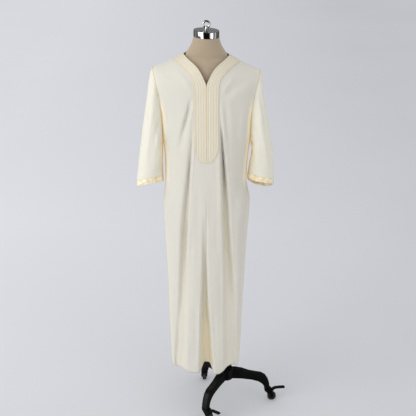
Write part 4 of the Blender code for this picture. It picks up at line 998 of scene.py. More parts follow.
def weave_group():
    """Plain weave: threads over and under each other, with some thicker than others."""
    group, given, wanted = new_group(
        "plain_weave",
        [
            ("Place", "NodeSocketVector", None),
            ("Threads Per Metre", "NodeSocketFloat", 1100.0),
            ("Unevenness", "NodeSocketFloat", 0.5),
        ],
        [("Height", "NodeSocketFloat"), ("Slub", "NodeSocketFloat")],
    )
    parts = add_node(group, "ShaderNodeSeparateXYZ", {"Vector": given["Place"]}).outputs
    waves = []
    for axis in ("X", "Y"):
        angle = maths(group, "MULTIPLY", parts[axis], given["Threads Per Metre"])
        waves.append(maths(group, "SINE", maths(group, "MULTIPLY", angle, math.pi)))
    crossing = maths(group, "MULTIPLY", waves[0], waves[1])
    height = maths(group, "ADD", maths(group, "MULTIPLY", crossing, 0.5), 0.5)
    stretched = add_node(
        group, "ShaderNodeVectorMath", {0: given["Place"], 1: (420.0, 22.0, 1.0)}, operation="MULTIPLY"
    )
    noise = {"Vector": stretched.outputs[0], "Scale": 1.0, "Detail": 2.0}
    down = add_node(group, "ShaderNodeTexNoise", noise)
    stretched = add_node(
        group, "ShaderNodeVectorMath", {0: given["Place"], 1: (18.0, 380.0, 1.0)}, operation="MULTIPLY"
    )
    noise = {"Vector": stretched.outputs[0], "Scale": 1.0, "Detail": 2.0}
    across = add_node(group, "ShaderNodeTexNoise", noise)
    slub = maths(group, "ADD", down.outputs[0], across.outputs[0])
    slub = ranged(group, slub, 0.75, 1.30)
    group.links.new(slub, wanted["Slub"])
    rough = maths(group, "MULTIPLY", slub, given["Unevenness"])
    group.links.new(maths(group, "ADD", height, rough), wanted["Height"])
    return group


def mottle_group():
    """Slow and quick variation of a finish, from 0 to 1."""
    group, given, wanted = new_group(
        "mottle",
        [
            ("Place", "NodeSocketVector", None),
            ("Slow Scale", "NodeSocketFloat", 6.0),
            ("Quick Scale", "NodeSocketFloat", 60.0),
        ],
        [("Slow", "NodeSocketFloat"), ("Quick", "NodeSocketFloat")],
    )
    for label, scale in (("Slow", "Slow Scale"), ("Quick", "Quick Scale")):
        noise = add_node(
            group, "ShaderNodeTexNoise", {"Vector": given["Place"], "Scale": given[scale], "Detail": 4.0}
        )
        group.links.new(ranged(group, noise.outputs[0], 0.3, 0.7), wanted[label])
    return group


GROUPS = {}


def use_group(tree, maker, inputs):
    """Places a shared group in a material, and builds it the first time."""
    if maker.__name__ not in GROUPS:
        GROUPS[maker.__name__] = maker()
    made = tree.nodes.new("ShaderNodeGroup")
    made.node_tree = GROUPS[maker.__name__]
    for name, value in inputs.items():
        give(tree, value, made.inputs[name])
    return made.outputs


def new_material(name, **shader_values):
    made = bpy.data.materials.new(name)
    made.use_nodes = True
    tree = made.node_tree
    shader = tree.nodes["Principled BSDF"]
    for label, value in shader_values.items():
        shader.inputs[label.replace("_", " ")].default_value = value
    return made, tree, shader


def bumped(tree, shader, height, strength, distance):
    bump = add_node(tree, "ShaderNodeBump", {"Height": height, "Strength": strength, "Distance": distance})
    tree.links.new(bump.outputs[0], shader.inputs["Normal"])


def solid(colour):
    return (*colour, 1.0)


def shaded(colour, share):
    """A colour made darker or lighter by this share."""
    return solid([part * share for part in colour])


# The deepest golden tone, painted shade where the fold shade is strongest, as between the sleeves and the
# body.
GOLDEN_SHADE = (0.66, 0.50, 0.25)


def let_light_through(tree, shader, colour, share):
    """Mixes in the light that passes through thin cloth."""
    through = add_node(tree, "ShaderNodeBsdfTranslucent", {"Color": colour})
    both = add_node(tree, "ShaderNodeMixShader", {1: shader.outputs[0], 2: through.outputs[0]})
    both.inputs[0].default_value = share
    tree.links.new(both.outputs[0], tree.nodes["Material Output"].inputs["Surface"])


def cloth_material(name, colour, tint, threads=1150.0, relief=0.35):
    """Matte woven cloth with a little sheen, with painted golden shade and a painted glow deep in its folds.
    """
    made, tree, shader = new_material(
        name, Roughness=0.86, Sheen_Weight=0.25, Sheen_Roughness=0.45, Specular_IOR_Level=0.25
    )
    place = add_node(tree, "ShaderNodeUVMap", uv_map="cloth").outputs[0]
    weave = use_group(tree, weave_group, {"Place": place, "Threads Per Metre": threads, "Unevenness": 0.8})
    spots = use_group(tree, mottle_group, {"Place": place, "Slow Scale": 5.0, "Quick Scale": 70.0})
    # How much painted shade each point takes, as worked out for the mesh.
    fold = add_node(tree, "ShaderNodeAttribute", attribute_name="fold").outputs["Fac"]
    base = mixed(tree, maths(tree, "MULTIPLY", spots["Slow"], 0.5), solid(colour), shaded(colour, 0.955))
    base = mixed(tree, maths(tree, "MULTIPLY", weave["Slub"], 0.22), base, shaded(colour, 0.90))
    # Painted shade: the fold shade's colour, then the deepest golden shade where it is strongest.
    base = mixed(tree, ranged(tree, fold, 0.0, 1.0), base, solid(tint))
    base = mixed(tree, ranged(tree, fold, 0.6, 0.95), base, solid(GOLDEN_SHADE))
    tree.links.new(base, shader.inputs["Base Color"])
    rough = ranged(tree, spots["Quick"], 0.0, 1.0, 0.80, 0.92)
    tree.links.new(rough, shader.inputs["Roughness"])
    bumped(tree, shader, weave["Height"], relief, 0.00025)
    let_light_through(tree, shader, base, 0.14)
    # Painted light: the cloth glows with its own colour, the more the deeper the painted fold shade.
    tree.links.new(base, shader.inputs["Emission Color"])
    tree.links.new(maths(tree, "MULTIPLY", fold, 0.32), shader.inputs["Emission Strength"])
    return made


def embroidery_material(name, ground, thread, pitch=180.0):
    """Close columns of satin stitch over a woven ground."""
    made, tree, shader = new_material(
        name, Roughness=0.6, Sheen_Weight=0.15, Sheen_Roughness=0.4, Specular_IOR_Level=0.35
    )
    place = add_node(tree, "ShaderNodeUVMap", uv_map="cloth").outputs[0]
    parts = add_node(tree, "ShaderNodeSeparateXYZ", {"Vector": place}).outputs
    stitched = add_node(tree, "ShaderNodeAttribute", attribute_name="fold").outputs["Fac"]
    along = maths(tree, "MULTIPLY", parts["X"], 900.0)
    slant = maths(tree, "ADD", along, maths(tree, "MULTIPLY", parts["Y"], 2600.0))
    strands = maths(tree, "ADD", maths(tree, "MULTIPLY", maths(tree, "SINE", slant), 0.5), 0.5)
    spots = use_group(tree, mottle_group, {"Place": place, "Slow Scale": 14.0, "Quick Scale": pitch})
    share = maths(tree, "MULTIPLY", stitched, ranged(tree, spots["Quick"], 0.0, 1.0, 0.75, 1.0), clamp=True)
    base = mixed(tree, share, solid(ground), solid(thread))
    base = mixed(tree, maths(tree, "MULTIPLY", strands, 0.16), base, shaded(thread, 0.75))
    tree.links.new(base, shader.inputs["Base Color"])
    tree.links.new(ranged(tree, share, 0.0, 1.0, 0.80, 0.48), shader.inputs["Roughness"])
    rise = maths(tree, "MULTIPLY", strands, share)
    height = maths(tree, "ADD", rise, maths(tree, "MULTIPLY", spots["Quick"], 0.3))
    bumped(tree, shader, height, 0.5, 0.0003)
    return made


def satin_material(name, light, deep):
    """Satin with painted sheen: its colour breaks into lit and deep patches, as its sheen does where it
    puckers.
    """
    made, tree, shader = new_material(
        name, Roughness=0.34, Specular_IOR_Level=0.6, Sheen_Weight=0.2, Sheen_Roughness=0.3
    )
    place = add_node(tree, "ShaderNodeUVMap", uv_map="cloth").outputs[0]
    spots = use_group(tree, mottle_group, {"Place": place, "Slow Scale": 34.0, "Quick Scale": 240.0})
    weave = use_group(tree, weave_group, {"Place": place, "Threads Per Metre": 1700.0, "Unevenness": 0.3})
    # Painted sheen: slow patches between the lit and the deep tone.
    share = ranged(tree, spots["Slow"], 0.35, 0.75)
    base = mixed(tree, share, solid(light), solid(deep))
    tree.links.new(base, shader.inputs["Base Color"])
    tree.links.new(ranged(tree, spots["Quick"], 0.0, 1.0, 0.28, 0.42), shader.inputs["Roughness"])
    bumped(tree, shader, weave["Height"], 0.2, 0.0002)
    return made


def jersey_material(name, colour):
    """Knitted cover, in fine wales."""
    made, tree, shader = new_material(name, Roughness=0.9, Sheen_Weight=0.3, Sheen_Roughness=0.5)
    place = add_node(tree, "ShaderNodeTexCoord").outputs["Object"]
    parts = add_node(tree, "ShaderNodeSeparateXYZ", {"Vector": place}).outputs
    wale = maths(tree, "SINE", maths(tree, "MULTIPLY", parts["X"], 2400.0))
    course = maths(tree, "SINE", maths(tree, "MULTIPLY", parts["Z"], 3000.0))
    knit = maths(tree, "ADD", maths(tree, "MULTIPLY", maths(tree, "MULTIPLY", wale, course), 0.5), 0.5)
    spots = use_group(tree, mottle_group, {"Place": place, "Slow Scale": 9.0, "Quick Scale": 190.0})
    base = mixed(tree, maths(tree, "MULTIPLY", spots["Slow"], 0.6), solid(colour), shaded(colour, 0.88))
    base = mixed(tree, maths(tree, "MULTIPLY", spots["Quick"], 0.25), base, shaded(colour, 1.15))
    tree.links.new(base, shader.inputs["Base Color"])
    tree.links.new(ranged(tree, spots["Quick"], 0.0, 1.0, 0.84, 0.95), shader.inputs["Roughness"])
    bumped(tree, shader, knit, 0.35, 0.00025)
    return made


def metal_material(name, colour, roughness, marked=0.05):
    """Polished metal that is a little rougher at faint handling marks."""
    made, tree, shader = new_material(name, Metallic=1.0, Roughness=roughness)
    place = add_node(tree, "ShaderNodeTexCoord").outputs["Object"]
    spots = use_group(tree, mottle_group, {"Place": place, "Slow Scale": 22.0, "Quick Scale": 320.0})
    base = mixed(tree, maths(tree, "MULTIPLY", spots["Slow"], 0.3), solid(colour), shaded(colour, 0.9))
    tree.links.new(base, shader.inputs["Base Color"])
    marks = maths(tree, "MULTIPLY", spots["Slow"], spots["Quick"])
    tree.links.new(ranged(tree, marks, 0.0, 1.0, roughness, roughness + marked), shader.inputs["Roughness"])
    return made


def paint_material(name, colour, roughness, grain=90.0, relief=0.12):
    """Paint or moulded plastic with a slight orange peel and dust."""
    made, tree, shader = new_material(name, Roughness=roughness, Specular_IOR_Level=0.22)
    place = add_node(tree, "ShaderNodeTexCoord").outputs["Object"]
    spots = use_group(tree, mottle_group, {"Place": place, "Slow Scale": 14.0, "Quick Scale": grain * 6})
    dusty = [c + 0.0012 for c in colour]
    base = mixed(tree, maths(tree, "MULTIPLY", spots["Slow"], 0.6), solid(colour), solid(dusty))
    tree.links.new(base, shader.inputs["Base Color"])
    rough = ranged(tree, spots["Slow"], 0.0, 1.0, roughness, roughness + 0.15)
    tree.links.new(rough, shader.inputs["Roughness"])
    bumped(tree, shader, spots["Quick"], relief, 0.0004)
    return made


FINISHES = {}


def finish(name):
    """Materials by the name of their finish, each made when it is first asked for."""
    if name in FINISHES:
        return FINISHES[name]
    cloth = bpy.context.scene.robe_cloth
    stand = bpy.context.scene.robe_stand
    cream = tuple(cloth.cream)
    tint = tuple(cloth.painted_fold_shade)
    gold = tuple(cloth.thread_gold)
    black = tuple(stand.black_paint)
    makers = {
        "cream": lambda: cloth_material("cream_cloth", cream, tint),
        "sleeve": lambda: cloth_material("sleeve_cloth", tuple(cloth.sleeve_lit_cream), tint),
        "plastron": lambda: embroidery_material(
            "plastron_stitching", tuple(cloth.plastron_ground), tuple(cloth.thread_pale)
        ),
        "braid": lambda: embroidery_material("gold_braid", tuple(cloth.plastron_ground), gold, 300.0),
        "satin": lambda: satin_material("cuff_satin", tuple(cloth.satin_sheen_tone), tuple(cloth.satin_unlit_tone)),
        "seam": lambda: cloth_material("seam_piping", tuple(cloth.piping), tint, 1600.0, 0.2),
        "thread": lambda: cloth_material("sewing_thread", cream, tint, 2600.0, 0.2),
        "jersey": lambda: jersey_material("khaki_jersey", tuple(stand.jersey)),
        "chrome": lambda: metal_material("chrome", tuple(stand.chrome), 0.07),
        "iron": lambda: paint_material("black_cast_iron", black, 0.42),
        "black_metal": lambda: paint_material("black_steel", black, 0.36, 120.0, 0.06),
        "plastic": lambda: paint_material("black_plastic", tuple(c + 0.001 for c in black), 0.5, 160.0, 0.1),
        "tread": lambda: paint_material("wheel_tread", (0.035, 0.034, 0.033), 0.55, 70.0, 0.15),
    }
    FINISHES[name] = makers[name]()
    return FINISHES[name]


def panel_fold_shade(points, facing):
    """Each point's share of painted shade, from 0 to 1: deep in folds, along the sides and most near the
    arms.
    """
    x = points[..., 0]
    z = points[..., 2]
    push = fold_push(x, z, FRONT_PLEATS if facing < 0 else BACK_PLEATS)
    deep = np.clip(push / FOLD_DEPTH_OF_FULL_SHADE, 0.0, 1.0) * eased((1.20 - z) / 0.25)
    at_side = 1.0 - np.clip((side_of(x, z) - np.abs(x)) / FOLDS_STOP_AT_SIDE, 0.0, 1.0)
    near_arm = eased((1.42 - z) / 0.10) * eased((z - 0.98) / 0.12)
    return np.clip(0.60 * deep + 0.85 * at_side * near_arm + 0.15 * at_side, 0.0, 1.0)


def sewn_halves(name, facing, look, thickness, half):
    """A piece from its two halves, sewn in the middle, with its flat size and area.

    half(side) gives a half's points from the middle out, and each point's share of painted fold shade or of
    thread cover.
    """
    grids = []
    width = 0.0
    length = 0.0
    area = 0.0
    for side in (-1, 1):
        points, folds = half(side)
        moved = settled(points)
        wide, long = flat_size(moved)
        width += wide
        length = max(length, long)
        area += area_of(moved)
        across = slice(None, None, -1) if side * facing > 0 else slice(None)
        grids.append((moved[:, across], folds[:, across]))
    made = grid_mesh(name, grids, [finish(look)], merge=SEWN_TOGETHER)
    checked_outward(made, (0.0, facing, 0.0))
    thicken(made, thickness)
    return made, (width, length), area


def dressed(made, node):
    """Lets a finished piece stand for its solid and move with the form."""
    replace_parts(made, node)
    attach(made, "form")


def checked_outward(made, towards):
    """Turns a surface's faces over if most of them face away from this direction's side."""
    score = sum(face.normal.dot(Vector(towards)) * face.area for face in made.data.polygons)
    if score < 0:
        made.data.flip_normals()


PANEL_ROWS = 230
PANEL_COLUMNS = 74


class ROBE_OT_panels(bpy.types.Operator):
    """Make the robe's front and back panels"""

    bl_idname = "robe.panels"
    bl_label = "Front and back panels"

    def execute(self, context):
        thickness = context.scene.robe_cloth.cloth_thickness
        for word, facing in (("front", -1), ("back", 1)):
            rows = spread_rows(facing, PANEL_ROWS, 2.0)
            columns = spread_columns(facing, PANEL_COLUMNS, row_count(facing) - 4.0)
            if facing < 0:
                rows = np.unique(np.concatenate([rows, [float(SLIT_ROW)]]))

            def half(side, facing=facing, rows=rows, columns=columns):
                points = panel_points(side, facing, rows, columns)
                return points, panel_fold_shade(points, facing)

            made, flat, area = sewn_halves(f"robe_{word}_cloth", facing, "cream", thickness, half)
            dressed(made, f"robe_{word}")
        return {"FINISHED"}


SLEEVE_TURNS = np.linspace(0.0, 1.0, 161)
SLEEVE_ROWS = 110


class ROBE_OT_sleeves(bpy.types.Operator):
    """Make the two sleeves"""

    bl_idname = "robe.sleeves"
    bl_label = "Sleeves"

    def execute(self, context):
        for side, word in ((-1, "right"), (1, "left")):
            shares = np.linspace(0.0, 1.0, SLEEVE_ROWS)
            moved = settled(sleeve_points(side, shares, SLEEVE_TURNS))
            # Painted shade along the sleeve's inner side, by the body, fading down the sleeve.
            inner = np.exp(-(((SLEEVE_TURNS - 0.47) / 0.075) ** 2))
            folds = np.outer(eased(shares / 0.10) * (1.0 - 0.75 * eased((shares - 0.45) / 0.4)), inner)
            made = grid_mesh(f"sleeve_{word}_cloth", [(moved, folds)], [finish("sleeve")])
            checked_outward_of(made, moved)
            thicken(made, context.scene.robe_cloth.cloth_thickness)
            dressed(made, f"sleeve_{word}")
        return {"FINISHED"}


def checked_outward_of(made, grid):
    """Turns a tube's faces over if they face its inside."""
    centre = Vector(grid.reshape(-1, 3).mean(axis=0))
    score = 0.0
    for face in made.data.polygons:
        away = face.center - centre
        away.z = 0.0
        score += face.normal.dot(away) * face.area
    if score < 0:
        made.data.flip_normals()


CUFF_ROWS = 16
CUFF_OVER_SLEEVE = 0.0006
PUCKERS_ROUND = 17
PUCKER_DEPTH = 0.00055
CUFF_WAVE_DEPTH = 0.0006


def cuff_pucker(side):
    """How far the satin's small puckers and slow waves stand out, over a cuff's grid."""
    turn, down = np.meshgrid(SLEEVE_TURNS, np.linspace(0.0, 1.0, CUFF_ROWS))
    pucker = np.sin(2 * np.pi * (PUCKERS_ROUND * turn + 0.35 * np.sin(9.0 * down + side)))
    wave = np.sin(2 * np.pi * (4 * turn + down))
    return PUCKER_DEPTH * pucker * np.sin(np.pi * down) + CUFF_WAVE_DEPTH * wave


class ROBE_OT_cuffs(bpy.types.Operator):
    """Make the satin bands at the sleeves' ends"""

    bl_idname = "robe.cuffs"
    bl_label = "Satin cuffs"

    def execute(self, context):
        for side, word in ((-1, "right"), (1, "left")):
            shares = np.linspace(1.0, CUFF_END, CUFF_ROWS)
            grid = sleeve_points(side, shares, SLEEVE_TURNS, lift=CLOTH_OUT + CUFF_OVER_SLEEVE)
            pucker = cuff_pucker(side)
            moved = settled(grid + ring_normals(grid, side) * pucker[..., None])
            made = grid_mesh(f"cuff_{word}_satin", [(moved, np.zeros(pucker.shape))], [finish("satin")])
            checked_outward_of(made, moved)
            thicken(made, context.scene.robe_cloth.cloth_thickness)
            dressed(made, f"cuff_{word}")
        return {"FINISHED"}


def band_place(share):
    """The fractional column of the front's table at this share of the way across the plastron's band."""
    return np.interp(share, BAND_COLUMNS, np.arange(len(BAND_COLUMNS)))


STITCH_LINES = 5
STITCH_RISE = 0.0009
STITCHED_THICKNESS = 0.0008
PLASTRON_COLUMNS = 91
PLASTRON_FLAT_WIDTH = 0.30


def stitched(points, facing, side, relief):
    """Points raised where the stitched columns are, and how much thread covers each."""
    raised = points + grid_normals(points, facing * side) * (relief * STITCH_RISE)[..., None]
    return raised, np.broadcast_to(0.15 + 0.85 * relief, points.shape[:2])


def stitch_relief(shares):
    """How high the stitched columns stand across a band, from 0 to 1."""
    return np.abs(np.sin(np.pi * STITCH_LINES * shares)) ** 0.6


class ROBE_OT_plastron(bpy.types.Operator):
    """Make the U-shaped embroidered plastron"""

    bl_idname = "robe.plastron"
    bl_label = "Embroidered plastron"

    def execute(self, context):
        rows = spread_rows(-1, 1200, 2.0)
        rows = np.append(rows[rows <= TIP_ROW][::2], float(TIP_ROW))
        shares = np.linspace(0.0, 1.0, PLASTRON_COLUMNS)

        def half(side):
            points = panel_points(side, -1, rows, band_place(shares), lift=PLASTRON_OUT)
            return stitched(points, -1, side, stitch_relief(shares)[None, :])

        made, flat, area = sewn_halves("plastron_embroidery", -1, "plastron", STITCHED_THICKNESS, half)
        dressed(made, "plastron")
        flat = (PLASTRON_FLAT_WIDTH, flat[1])
        return {"FINISHED"}


def across_path(path, outward):
    """Directions across a path, square to it and to its outward directions."""
    along = np.gradient(path, axis=0)
    along /= np.maximum(np.linalg.norm(along, axis=-1, keepdims=True), TINY)
    across = np.cross(along, outward)
    return across / np.maximum(np.linalg.norm(across, axis=-1, keepdims=True), TINY)


def braid_grid(path, outward, width, height, plait, columns=9):
    """A flat plaited braid as a grid of points: its edges touch the cloth, and its strands cross."""
    across = across_path(path, outward)
    walked = np.concatenate([[0.0], np.cumsum(np.linalg.norm(np.diff(path, axis=0), axis=1))])
    place = np.linspace(-1.0, 1.0, columns)
    dome = np.sqrt(np.clip(1.0 - place**4, 0.0, 1.0))
    phase = walked[:, None] / plait * 2.0 * np.pi
    strands = np.maximum(np.sin(phase + 2.2 * place), np.sin(phase + np.pi - 2.2 * place))
    rise = height * (0.55 * dome + 0.45 * dome * strands) - 0.0004 * (1.0 - dome)
    points = path[:, None] + across[:, None] * (place[None, :, None] * width / 2)
    points = points + outward[:, None] * rise[..., None]
    return points, np.clip(0.35 + 0.65 * strands * dome, 0.0, 1.0)


def band_path(side, share, rows, lift=BRAID_OUT):
    """A line down the plastron's band at this share of its width, with outward directions."""
    columns = band_place(np.array([share - 0.004, share, share + 0.004]))
    points = panel_points(side, -1, rows, columns, lift=lift)
    normals = grid_normals(points, -side)
    return points[:, 1], normals[:, 1]


def tip_path(rows_share, lift=BRAID_OUT):
    """The plastron's lower edge from the right border to the left one, a little above the rim."""
    rows = np.array([TIP_ROW - rows_share - 0.03, TIP_ROW - rows_share, TIP_ROW - rows_share + 0.03])
    shares = np.linspace(1.0, 0.0, 60)
    right = panel_points(-1, -1, rows, band_place(shares), lift=lift)
    right_out = grid_normals(right, 1)
    left = panel_points(1, -1, rows, band_place(shares[::-1]), lift=lift)
    left_out = grid_normals(left, -1)
    path = np.concatenate([right[1], left[1, 1:]])
    out = np.concatenate([right_out[1], left_out[1, 1:]])
    return path, -out * np.sign(out[:, 1:2])


BRAID_ROWS = 2400
BORDER_SHARES = (0.965, 0.885)
TIP_RISES = (0.03, 0.16)
CENTRE_SHARE = 0.045
BORDER_BRAID = (0.0036, 0.0011, 0.0052)
CENTRE_BRAID = (0.0040, 0.0012, 0.0048)


def braided(name, paths, sizes):
    """Flat plaited braids along these paths, as one piece on the form. sizes are width, height and plait."""
    grids = []
    for path, out in paths:
        points, cover = braid_grid(path, out, *sizes)
        grids.append((settled(points), cover))
    made = grid_mesh(name, grids, [finish("braid")], merge=0.0)
    checked_outward(made, (0.0, -1.0, 0.0))
    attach(made, "form")
    return made


class ROBE_OT_braids(bpy.types.Operator):
    """Make the braids round the plastron and down its middle"""

    bl_idname = "robe.braids"
    bl_label = "Braids"

    def execute(self, context):
        rows = spread_rows(-1, BRAID_ROWS, 2.0)
        upper = rows[rows <= TIP_ROW - 0.02]
        paths = [band_path(side, share, upper) for side in (-1, 1) for share in BORDER_SHARES]
        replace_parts(braided("border_braid_cord", paths, BORDER_BRAID), "border_braid")
        braided("tip_braid_cord", [tip_path(rise) for rise in TIP_RISES], BORDER_BRAID)
        upper = rows[rows <= TIP_ROW - 0.12]
        paths = [band_path(side, CENTRE_SHARE, upper) for side in (-1, 1)]
        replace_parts(braided("centre_braid_cord", paths, CENTRE_BRAID), "centre_braid")
        return {"FINISHED"}


def cord_grid(path, outward, width, height, columns=7):
    """A narrow rounded strip along a path, its edges on the cloth."""
    across = across_path(path, outward)
    place = np.linspace(-1.0, 1.0, columns)
    dome = np.sqrt(np.clip(1.0 - place**2, 0.0, 1.0))
    points = path[:, None] + across[:, None] * (place[None, :, None] * width / 2)
    rise = height * dome - 0.0003 * (1.0 - dome)
    return points + outward[:, None] * rise[None, :, None]


def stitched_strip(name, paths, width, height, look):
    """Thin strips over seams, in one piece that rides on the form."""
    grids = []
    for path, outward in paths:
        points = cord_grid(path, outward, width, height)
        grids.append((points, np.zeros(points.shape[:2])))
    made = grid_mesh(name, grids, [finish(look)], merge=0.0)
    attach(made, "form")


def armhole_path(side):
    """The line over an armhole's seam, with outward directions."""
    turns = np.linspace(0.0, 1.0, 240)
    hole, outward = armhole_ring(side, turns)
    inside = hole * np.array([JUST_INSIDE, 1.0, 1.0])
    in_front = turns < 0.5
    front_y = robe_y(inside[:, 0], inside[:, 2], -1)
    inside[:, 1] = np.where(in_front, front_y, robe_y(inside[:, 0], inside[:, 2], 1))
    along = np.gradient(hole, axis=0)
    lift = np.cross(along, hole - inside)
    lift /= np.maximum(np.linalg.norm(lift, axis=-1, keepdims=True), TINY)
    centre = np.array([0.0, SIDE_Y, 1.36])
    lift *= np.sign((lift * (hole - centre)).sum(axis=-1, keepdims=True))
    return settled(hole + outward * ARMHOLE_STEP / 2 + lift * (CLOTH_OUT + 0.0002)), lift


def shoulder_path(side):
    """The line over a shoulder's seam, with upward directions."""
    x = side * np.linspace(NECK_SIDE, SHOULDER_TIP - 0.001, 80)
    z = ridge_height(x)
    out = np.stack([np.zeros_like(x), np.zeros_like(x), np.ones_like(x)], -1)
    return settled(np.stack([x, np.full_like(x, RIDGE_Y), z + CLOTH_OUT + 0.0001], -1)), out


def side_path(side):
    """The line down a side seam, with outward directions."""
    z = np.linspace(UNDERARM, BACK_HEM + 0.002, 260)
    x = side * (side_of(side, z) + CLOTH_OUT * 0.9)
    out = np.stack([np.full_like(z, side), np.zeros_like(z), np.zeros_like(z)], -1)
    return settled(np.stack([x, np.full_like(z, SIDE_Y), z], -1)), out


SEAM_STRIPS = (
    # piece, its path, width, height, finish
    # The armhole and side seams' gold piping also paints the golden shade along them.
    ("armhole_seams", armhole_path, 0.0034, 0.0009, "seam"),
    ("shoulder_seams", shoulder_path, 0.0030, 0.0007, "thread"),
    ("side_seams", side_path, 0.0030, 0.0007, "seam"),
)


class ROBE_OT_seams(bpy.types.Operator):
    """Make the thin piping along the armholes, the shoulders and the sides"""

    bl_idname = "robe.seams"
    bl_label = "Seams"

    def execute(self, context):
        for name, path, width, height, look in SEAM_STRIPS:
            stitched_strip(name, [path(-1), path(1)], width, height, look)
        return {"FINISHED"}


NECKBAND_ROWS = 40
NECKBAND_COLUMNS = 130


class ROBE_OT_neckband(bpy.types.Operator):
    """Make the embroidered band round the back of the neck"""

    bl_idname = "robe.neckband"
    bl_label = "Back neckband"

    def execute(self, context):
        rows = np.linspace(0.0, BACK_BAND_ROW, NECKBAND_ROWS)
        columns = np.linspace(0.0, BACK_BAND_COLUMN, NECKBAND_COLUMNS)

        def half(side):
            points = panel_points(side, 1, rows, columns, lift=PLASTRON_OUT)
            return stitched(points, 1, side, stitch_relief(np.linspace(0.0, 1.0, len(rows)))[:, None])

        made, flat, area = sewn_halves("back_neckband_embroidery", 1, "plastron", STITCHED_THICKNESS, half)
        dressed(made, "back_neckband")
        return {"FINISHED"}


# The form: smooth, a little smaller than the robe everywhere.
FORM_UNDER_RIDGE = 0.0024
FORM_TURN = 0.95
FORM_TURNS_ABOVE = 1.33
FORM_MIDDLE_SHIFT = 0.16
FORM_SECTIONS = (
    # height, half width, front's y, back's y
    (0.870, 0.137, -0.066, 0.070),
    (0.876, 0.143, -0.071, 0.076),
    (0.900, 0.148, -0.075, 0.082),
    (0.960, 0.150, -0.077, 0.086),
    (1.030, 0.144, -0.075, 0.082),
    (1.100, 0.140, -0.078, 0.079),
    (1.180, 0.146, -0.088, 0.084),
    (1.260, 0.155, -0.097, 0.089),
    (1.330, 0.164, -0.101, 0.089),
    (1.400, 0.176, -0.099, 0.086),
    (1.440, 0.186, -0.097, 0.084),
    (1.470, 0.193, -0.096, 0.082),
    (1.488, 0.196, -0.096, 0.081),
    (1.548, 0.196, -0.096, 0.081),
)
FORM_BODY_TOP = 1.488
FORM_RIDGE_TOP = 1.548
FORM_NECK = (
    # height, half width, front's y, back's y
    (1.5545, 0.0828, -0.050, 0.051),
    (1.568, 0.0775, -0.0505, 0.050),
    (1.584, 0.0675, -0.050, 0.0495),
    (1.604, 0.0570, -0.0495, 0.0495),
    (1.6292, 0.0498, -0.0498, 0.0498),
)
FORM_OVAL = 2.15
NECK_TOP = 1.6292


def form_ring(z, count=96):
    """One level ring of the form's cover."""
    angle = 2.0 * np.pi * np.arange(count) / count
    across = np.sin(angle)
    facing = -np.cos(angle)
    if z > FORM_RIDGE_TOP:
        front = smooth_between(FORM_NECK, z, 2)
        back = smooth_between(FORM_NECK, z, 3)
        x = smooth_between(FORM_NECK, z, 1) * across
        y = (front + back) / 2.0 + facing * (back - front) / 2.0
        return np.stack([x, y, np.full(count, z)], -1)
    front = smooth_between(FORM_SECTIONS, z, 2)
    back = smooth_between(FORM_SECTIONS, z, 3)
    limit = smooth_between(FORM_SECTIONS, z, 1)
    body = z <= FORM_BODY_TOP
    half = limit if body else min(limit, smooth_between(RIDGE[::-1], z + FORM_UNDER_RIDGE, 0, key=1))
    x = half * np.sign(across) * np.abs(across) ** (2.0 / FORM_OVAL)
    closing = np.clip(1.0 - (np.abs(x) / limit) ** FORM_OVAL, 0.0, 1.0) ** (1.0 / FORM_OVAL)
    turn = FORM_TURN * over_shoulder(x, np.full_like(x, z), FORM_UNDER_RIDGE) if z > FORM_TURNS_ABOVE else 1.0
    middle = SIDE_Y + (RIDGE_Y - SIDE_Y) * eased((z - UNDERARM) / FORM_MIDDLE_SHIFT)
    depth = np.where(facing < 0, middle - front, back - middle)
    y = middle + np.sign(np.where(np.abs(facing) < 1e-9, 0.0, facing)) * depth * closing * turn
    return np.stack([x, y, np.full_like(x, z)], -1)


def tube_mesh(name, rings, material):
    """A closed body through rings of points: a bmesh grid, rolled up, whose rows are moved onto them."""
    count = rings.shape[1]
    bm = bmesh.new()
    bmesh.ops.create_grid(bm, x_segments=count, y_segments=len(rings) - 1, size=1.0)
    for vert in bm.verts:
        column = round((vert.co.x + 1.0) / 2.0 * count) % count
        row = round((vert.co.y + 1.0) / 2.0 * (len(rings) - 1))
        vert.co = rings[row, column]
    bmesh.ops.remove_doubles(bm, verts=bm.verts, dist=SAME_POINT)
    bmesh.ops.holes_fill(bm, edges=[edge for edge in bm.edges if edge.is_boundary], sides=0)
    bmesh.ops.recalc_face_normals(bm, faces=bm.faces)
    return finished_mesh(name, bm, [material])


class ROBE_OT_form(bpy.types.Operator):
    """Make the dress form's jersey cover and its neck"""

    bl_idname = "robe.form"
    bl_label = "Dress form"

    def execute(self, context):
        low = [0.870, 0.872, 0.876, 0.884]
        heights = np.concatenate([low, np.linspace(0.90, 1.48, 60), np.linspace(1.484, 1.548, 34)])
        neck = np.concatenate([np.linspace(1.5545, 1.6240, 26), [1.6275, NECK_TOP]])
        rings = np.array([form_ring(z) for z in np.concatenate([heights, neck])])
        dressed(tube_mesh("form_cover", settled(rings), finish("jersey")), "torso")
        return {"FINISHED"}


def spun(bm, axis, steps):
    """Turns a bmesh's edges once round the origin into a closed surface that faces outwards."""
    bmesh.ops.spin(
        bm,
        geom=bm.verts[:] + bm.edges[:],
        cent=(0.0, 0.0, 0.0),
        axis=axis,
        angle=2.0 * math.pi,
        steps=steps,
        use_merge=True,
    )
    bmesh.ops.remove_doubles(bm, verts=bm.verts, dist=SAME_POINT)
    bmesh.ops.recalc_face_normals(bm, faces=bm.faces)


